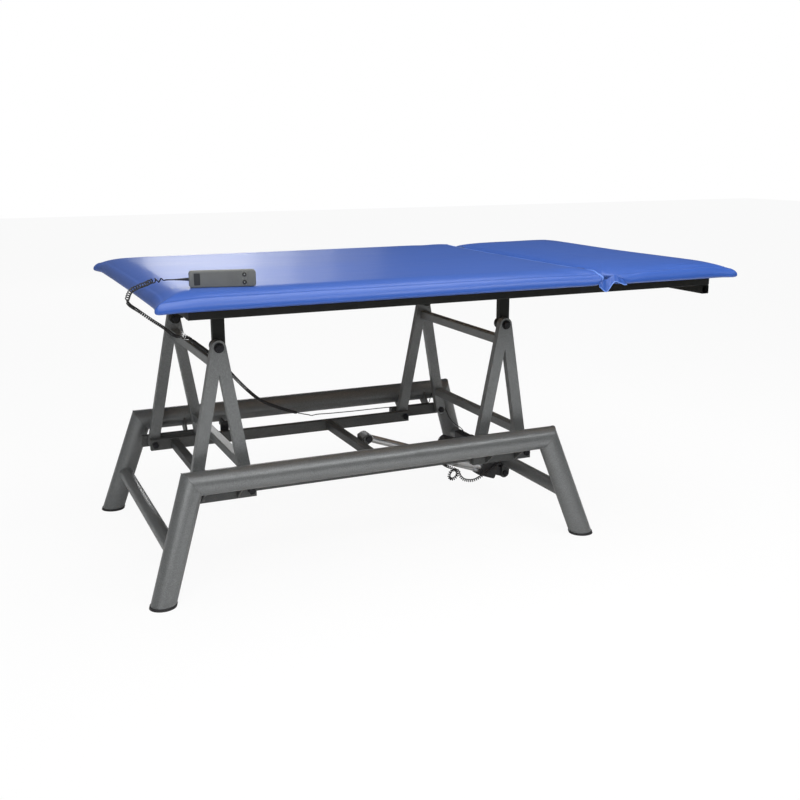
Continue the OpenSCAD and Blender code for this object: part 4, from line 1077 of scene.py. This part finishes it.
def square_seam(x, y, z, side):
    """Round the end of a square tube that meets a plate at that y."""
    half = SQUARE_TUBE / 2
    corners = ((-1, -1), (1, -1), (1, 1), (-1, 1))
    return [at_side(x + half * i, y, z + half * j, side) for i, j in corners], True


def welds():
    corners = [(i, j) for i in (-1, 1) for j in (-1, 1)]
    # The mitres are ground back: their beads are the smallest
    repeated("mitre_welds", [mitre(i, j) for i, j in corners], 0.0026, 0.0013, 0.35, bead,
             frame_paint, "base")
    repeated("cross_tube_welds", [cross_seam(i, j) for i, j in corners], 0.0030, 0.0023, 0.3, bead,
             frame_paint, "base")
    share = (0.460 - 0.078) / 0.460
    for body, name, apex, pivot in (("lift_left", "left", APEX_LEFT, PIVOT_LEFT),
                                    ("lift_right", "right", APEX_RIGHT, PIVOT_RIGHT)):
        low_x = apex + 0.004 + (pivot - apex - 0.004) * share
        seams = [square_seam(x, FRAME_IN, z, side) for side in (-1, 1)
                 for x, z in ((apex, APEX_Z - 0.058), (low_x, PIVOT_Z + 0.078))]
        repeated("lift_frame_welds_" + name, seams, BEAD_STEP, BEAD_R, 0.3, bead, frame_paint,
                 body)
    seams = [square_seam(x, TIE_IN, TIE_Z, side) for side in (-1, 1) for x in (-0.532, 0.076)]
    repeated("tie_frame_welds", seams, BEAD_STEP, BEAD_R, 0.3, bead, dark_paint,
             "tie_frame")
    seams = [([at(x + 0.009 + i * 0.019, side * y, 0.864) for i, y in (
        (-1, 0.288), (1, 0.288), (1, 0.311), (-1, 0.311))], True)
        for side in (-1, 1) for x in (APEX_LEFT, APEX_RIGHT)]
    repeated("post_welds", seams, BEAD_STEP, BEAD_R, 0.3, bead, bed_paint, "bed")


welds()


def hem(name, body, runs, paths_along, paths_across):
    """The cover's edge, folded under the board and stapled."""
    parts = []
    for a, b, inwards in runs:
        a, b, inwards = at(*a, PAD_Z), at(*b, PAD_Z), Vector((*inwards, 0))
        count = round((b - a).length / 0.014)
        rings = []
        for k in range(count + 1):
            p = a.lerp(b, k / count)
            inner = p + inwards * (0.020 + 0.002 * noise.noise(p * 40))
            drop = Vector((0, 0, 0.0009 + 0.0003 * noise.noise(p * 90)))
            lift = Vector((0, 0, 0.0004))
            rings.append([p + lift, p - drop, inner - drop, inner + lift])
        parts.append(skin(rings))
    piece(name + "_hem", several(parts), blue_vinyl, "vinyl", body)
    for paths, copied, label in ((paths_along, staple_along, "_staples"),
                                 (paths_across, staple_across, "_end_staples")):
        lines = [([at(*a, PAD_Z - 0.0011), at(*b, PAD_Z - 0.0011)], False) for a, b in paths]
        repeated(name + label, lines, 0.034, 0.010, 0.0, copied, zinc, body)


hem("main_cushion", "bed",
    [((-0.706, -0.574), (0.655, -0.574), (0, 1)), ((-0.706, 0.574), (0.655, 0.574), (0, -1)),
     ((-0.706, -0.574), (-0.706, 0.574), (1, 0))],
    [((-0.69, -0.563), (0.645, -0.563)), ((-0.69, 0.563), (0.645, 0.563))],
    [((-0.695, -0.54), (-0.695, 0.54))])
hem("head_cushion", "head_section",
    [((0.805, -0.574), (1.242, -0.574), (0, 1)), ((0.805, 0.574), (1.242, 0.574), (0, -1)),
     ((1.242, -0.574), (1.242, 0.574), (-1, 0))],
    [((0.815, -0.563), (1.226, -0.563)), ((0.815, 0.563), (1.226, 0.563))],
    [((1.231, -0.54), (1.231, 0.54))])
screw_lines = [([at(x, -0.42, 0.864), at(x, 0.42, 0.864)], False)
               for x in (-0.613, -0.504, 0.501)]
repeated("cross_rail_screws", screw_lines, 0.21, 0.0095, 0.0, pan_screw, zinc, "bed")


# Actuator details
ROD_WAY = (at(0.112, 0, 0.305) - at(0.690, 0, 0.098)).normalized()
ROD_UP = Vector((-ROD_WAY.z, 0, ROD_WAY.x)) * (-1 if ROD_WAY.x < 0 else 1)


def on_actuator(s, y, lift):
    """A place counted from the rear pin: along the rod, to the far side, and up square to it."""
    return at(0.690, y, 0.098) + ROD_WAY * s + ROD_UP * lift


def actuator_details():
    parts = []
    for k in range(3):
        a = math.radians(30 + 120 * k)
        place = on_actuator(0.260, 0.075 + 0.024 * math.cos(a), 0.040 + 0.024 * math.sin(a))
        parts.append(turned([(-0.001, 0.0035), (0.0012, 0.0035), (0.002, 0.0028), (0.002, 0.0016),
                             (0.0008, 0.0014), (0.0008, 0.0001)], place, ROD_WAY, 16))
    piece("motor_cap_screws", several(parts), zinc, "steel", "actuator_body")
    nut = [hex_head(on_actuator(0.240, 0.075, 0.040 - 0.0325), -ROD_UP, 0.0085, 0.005)]
    piece("motor_gland_nut", several(nut), black_plastic, "black_plastic", "actuator_body")
    rings = [disc(on_actuator(0.383 - s, 0, 0), ROD_WAY, 0.0312, 0.0026)
             for s in (0.020, 0.013, 0.006)]
    piece("collar_ribs", several(rings), black_plastic, "black_plastic", "actuator_body")


actuator_details()


# Hand control
def in_handset(along, up, out):
    return HANDSET_MIDDLE + handset_along * along + Vector((0, 0, up)) + handset_out * out


def rounded_block(length, height, radius, rows, middle=(0, 0), steps=6):
    """A block with rounded corners, from rows of depth out of the middle plane and inset."""
    rings = []
    for depth, inset in rows:
        r = max(radius - inset, 0.0003)
        ring = []
        for k in range(4 * (steps + 1)):
            quarter, step = divmod(k, steps + 1)
            a = math.radians(90 * quarter + 90 * step / steps)
            side, top = ((1, 1), (-1, 1), (-1, -1), (1, -1))[quarter]
            along = middle[0] + side * (length / 2 - inset - r) + r * math.cos(a)
            up = middle[1] + top * (height / 2 - inset - r) + r * math.sin(a)
            ring.append(in_handset(along, up, depth))
        rings.append(ring)
    return skin(rings)


WINDOW_X, KEYS_X, KEY_RISE, FACE = -0.072, 0.062, 0.011, 0.0135


def hand_control():
    half = [(0.0007, 0), (0.0108, 0), (0.0122, 0.0004), (0.0131, 0.0013), (0.0135, 0.0026)]
    rows = [(-d, i) for d, i in half[::-1]] + [(-0.0003, 0.0008), (0.0003, 0.0008)] + half
    block = rounded_block(CASE_L, CASE_H, 0.009, rows)
    case = mesh_object("hand_control_case", *block, handset_grey, 35)
    pockets = [rounded_block(0.0176, 0.0346, 0.0016, [(0.0121, 0), (0.02, 0)], (WINDOW_X, 0)),
               rounded_block(0.0185, 0.0415, 0.003, [(0.0127, 0), (0.02, 0)], (KEYS_X, 0))]
    grooves = [0.016 + 0.004 * k for k in range(8)]
    pockets += [rounded_block(0.0013, 0.036, 0.0005, [(0.0130, 0), (0.02, 0)], (x, 0), 2)
                for x in grooves]
    cutter = mesh_object("pockets", *several(pockets), handset_grey)
    cut = case.modifiers.new("pockets", "BOOLEAN")
    cut.operation, cut.solver, cut.object = "DIFFERENCE", "EXACT", cutter
    made_plain(case)
    bpy.data.objects.remove(cutter)
    shade(case.data, 35)
    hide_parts("handset_case")
    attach(case, "handset")
    pane = [(0.0115, 0), (0.0126, 0), (0.0130, 0.0004), (0.0131, 0.004)]
    piece("hand_control_window", rounded_block(0.0170, 0.0340, 0.0014, pane, (WINDOW_X, 0)),
          handset_dark, "black_plastic", "handset", "handset_window")
    plate = [(0.0122, 0), (0.0131, 0), (0.0132, 0.0003)]
    piece("keypad_plate", rounded_block(0.0180, 0.0410, 0.0028, plate, (KEYS_X, 0)), handset_grey,
          "handset_plastic", "handset")
    tick = [(0.0130, 0), (0.0134, 0)]
    ticks = [rounded_block(0.0011, 0.0024, 0.0002, tick, (KEYS_X + x, z), 1)
             for x in (-0.0045, 0.0045) for z in (-0.0185, 0, 0.0185)]
    piece("keypad_marks", several(ticks), mark_paint, "handset_plastic", "handset")
    cap = [(-0.003, 0.0063), (0.0010, 0.0063), (0.0018, 0.0058), (0.0021, 0.0048), (0.0018, 0.0030),
           (0.0016, 0.0002)]
    for name, up in (("up", 1), ("down", -1)):
        body = name + "_button"
        knob = turned(cap, in_handset(KEYS_X, up * KEY_RISE, FACE), handset_out)
        piece(name + "_key", knob, black_plastic, "black_plastic", body, "button_" + name)
        tips = [(0, 0.0024), (-0.0022, -0.0014), (0.0022, -0.0014)]
        rings = [[in_handset(KEYS_X + x, up * (KEY_RISE + z), FACE + out) for x, z in tips]
                 for out in (0.0008, 0.0022)]
        piece(name + "_key_arrow", skin(rings), mark_paint, "handset_plastic", body)


hand_control()
for copied in (bead, pan_screw, staple_along, staple_across):
    bpy.data.objects.remove(copied)


# Floor, light and surroundings
def surroundings():
    bpy.ops.mesh.primitive_plane_add(size=40)
    floor = bpy.context.object
    floor.name = "floor"
    f = Finish("pale_floor")
    seen = f.node("ShaderNodeLightPath", out="Is Camera Ray")
    matt = f.node("ShaderNodeBsdfDiffuse", None, {"Color": (0.93, 0.93, 0.93, 1)})
    glow = f.node("ShaderNodeEmission", None, {"Color": (1, 1, 1, 1)})
    f.node_end(f.node("ShaderNodeMixShader", None, {0: seen * 0.93, 1: matt, 2: glow}))
    floor.data.materials.append(f.material)

    world = bpy.data.worlds.new("studio")
    bpy.context.scene.world = world
    world.use_nodes = True
    tree = world.node_tree
    tree.nodes.clear()
    camera_ray = add_node(tree, "ShaderNodeLightPath", out="Is Camera Ray")
    glossy = add_node(tree, "ShaderNodeLightPath", out="Is Glossy Ray")
    through = add_node(tree, "ShaderNodeLightPath", out="Is Transmission Ray")
    way = add_node(tree, "ShaderNodeTexCoord", out="Generated")
    right = add_node(tree, "ShaderNodeSeparateXYZ", None, {0: way}, 0)
    studio = 0.14 - right.above(-0.2, 0.5) * 0.10
    fill = add_node(tree, "ShaderNodeBackground", None, {"Color": (1, 1, 1, 1), "Strength": 0.28})
    white = add_node(tree, "ShaderNodeBackground", None, {"Color": (1, 1, 1, 1), "Strength": 1.0})
    mirrored = add_node(tree, "ShaderNodeBackground", None, {
        "Color": (1, 1, 1, 1), "Strength": studio})
    seen = camera_ray.sum("MAXIMUM", camera_ray, through)
    lit = add_node(tree, "ShaderNodeMixShader", None, {0: glossy, 1: fill, 2: mirrored})
    lit = add_node(tree, "ShaderNodeMixShader", None, {0: seen, 1: lit, 2: white})
    end = tree.nodes.new("ShaderNodeOutputWorld")
    tree.links.new(lit.socket, end.inputs["Surface"])


def softbox(name, place, aim, width, height, watts):
    data = bpy.data.lights.new(name, "AREA")
    data.shape, data.size, data.size_y, data.energy = "RECTANGLE", width, height, watts
    lamp = bpy.data.objects.new(name, data)
    bpy.context.scene.collection.objects.link(lamp)
    way = Vector(place) - Vector(aim)
    lamp.location = place
    lamp.rotation_euler = way.to_track_quat("Z", "Y").to_euler()
    lamp.visible_camera = False


surroundings()
softbox("ceiling_softbox", (0.2, -0.4, 3.2), (0.0, 0.0, 0.6), 3.4, 2.0, 68)
softbox("front_softbox", (-2.3, -3.0, 1.9), (0.0, 0.0, 0.5), 2.2, 1.6, 42)
softbox("long_softbox", (0.7, -2.3, 2.5), (0.0, -0.4, 0.4), 2.6, 0.5, 28)
# One long lamp behind the table that fades to the right
for x, width, watts in ((1.1, 1.2, 24), (1.95, 0.5, 6), (2.45, 0.5, 3), (3.0, 0.6, 1.4)):
    softbox("rear_softbox", (x, 8.0, 1.95), (-0.6, 0.0, 0.95), width, 0.8, watts)
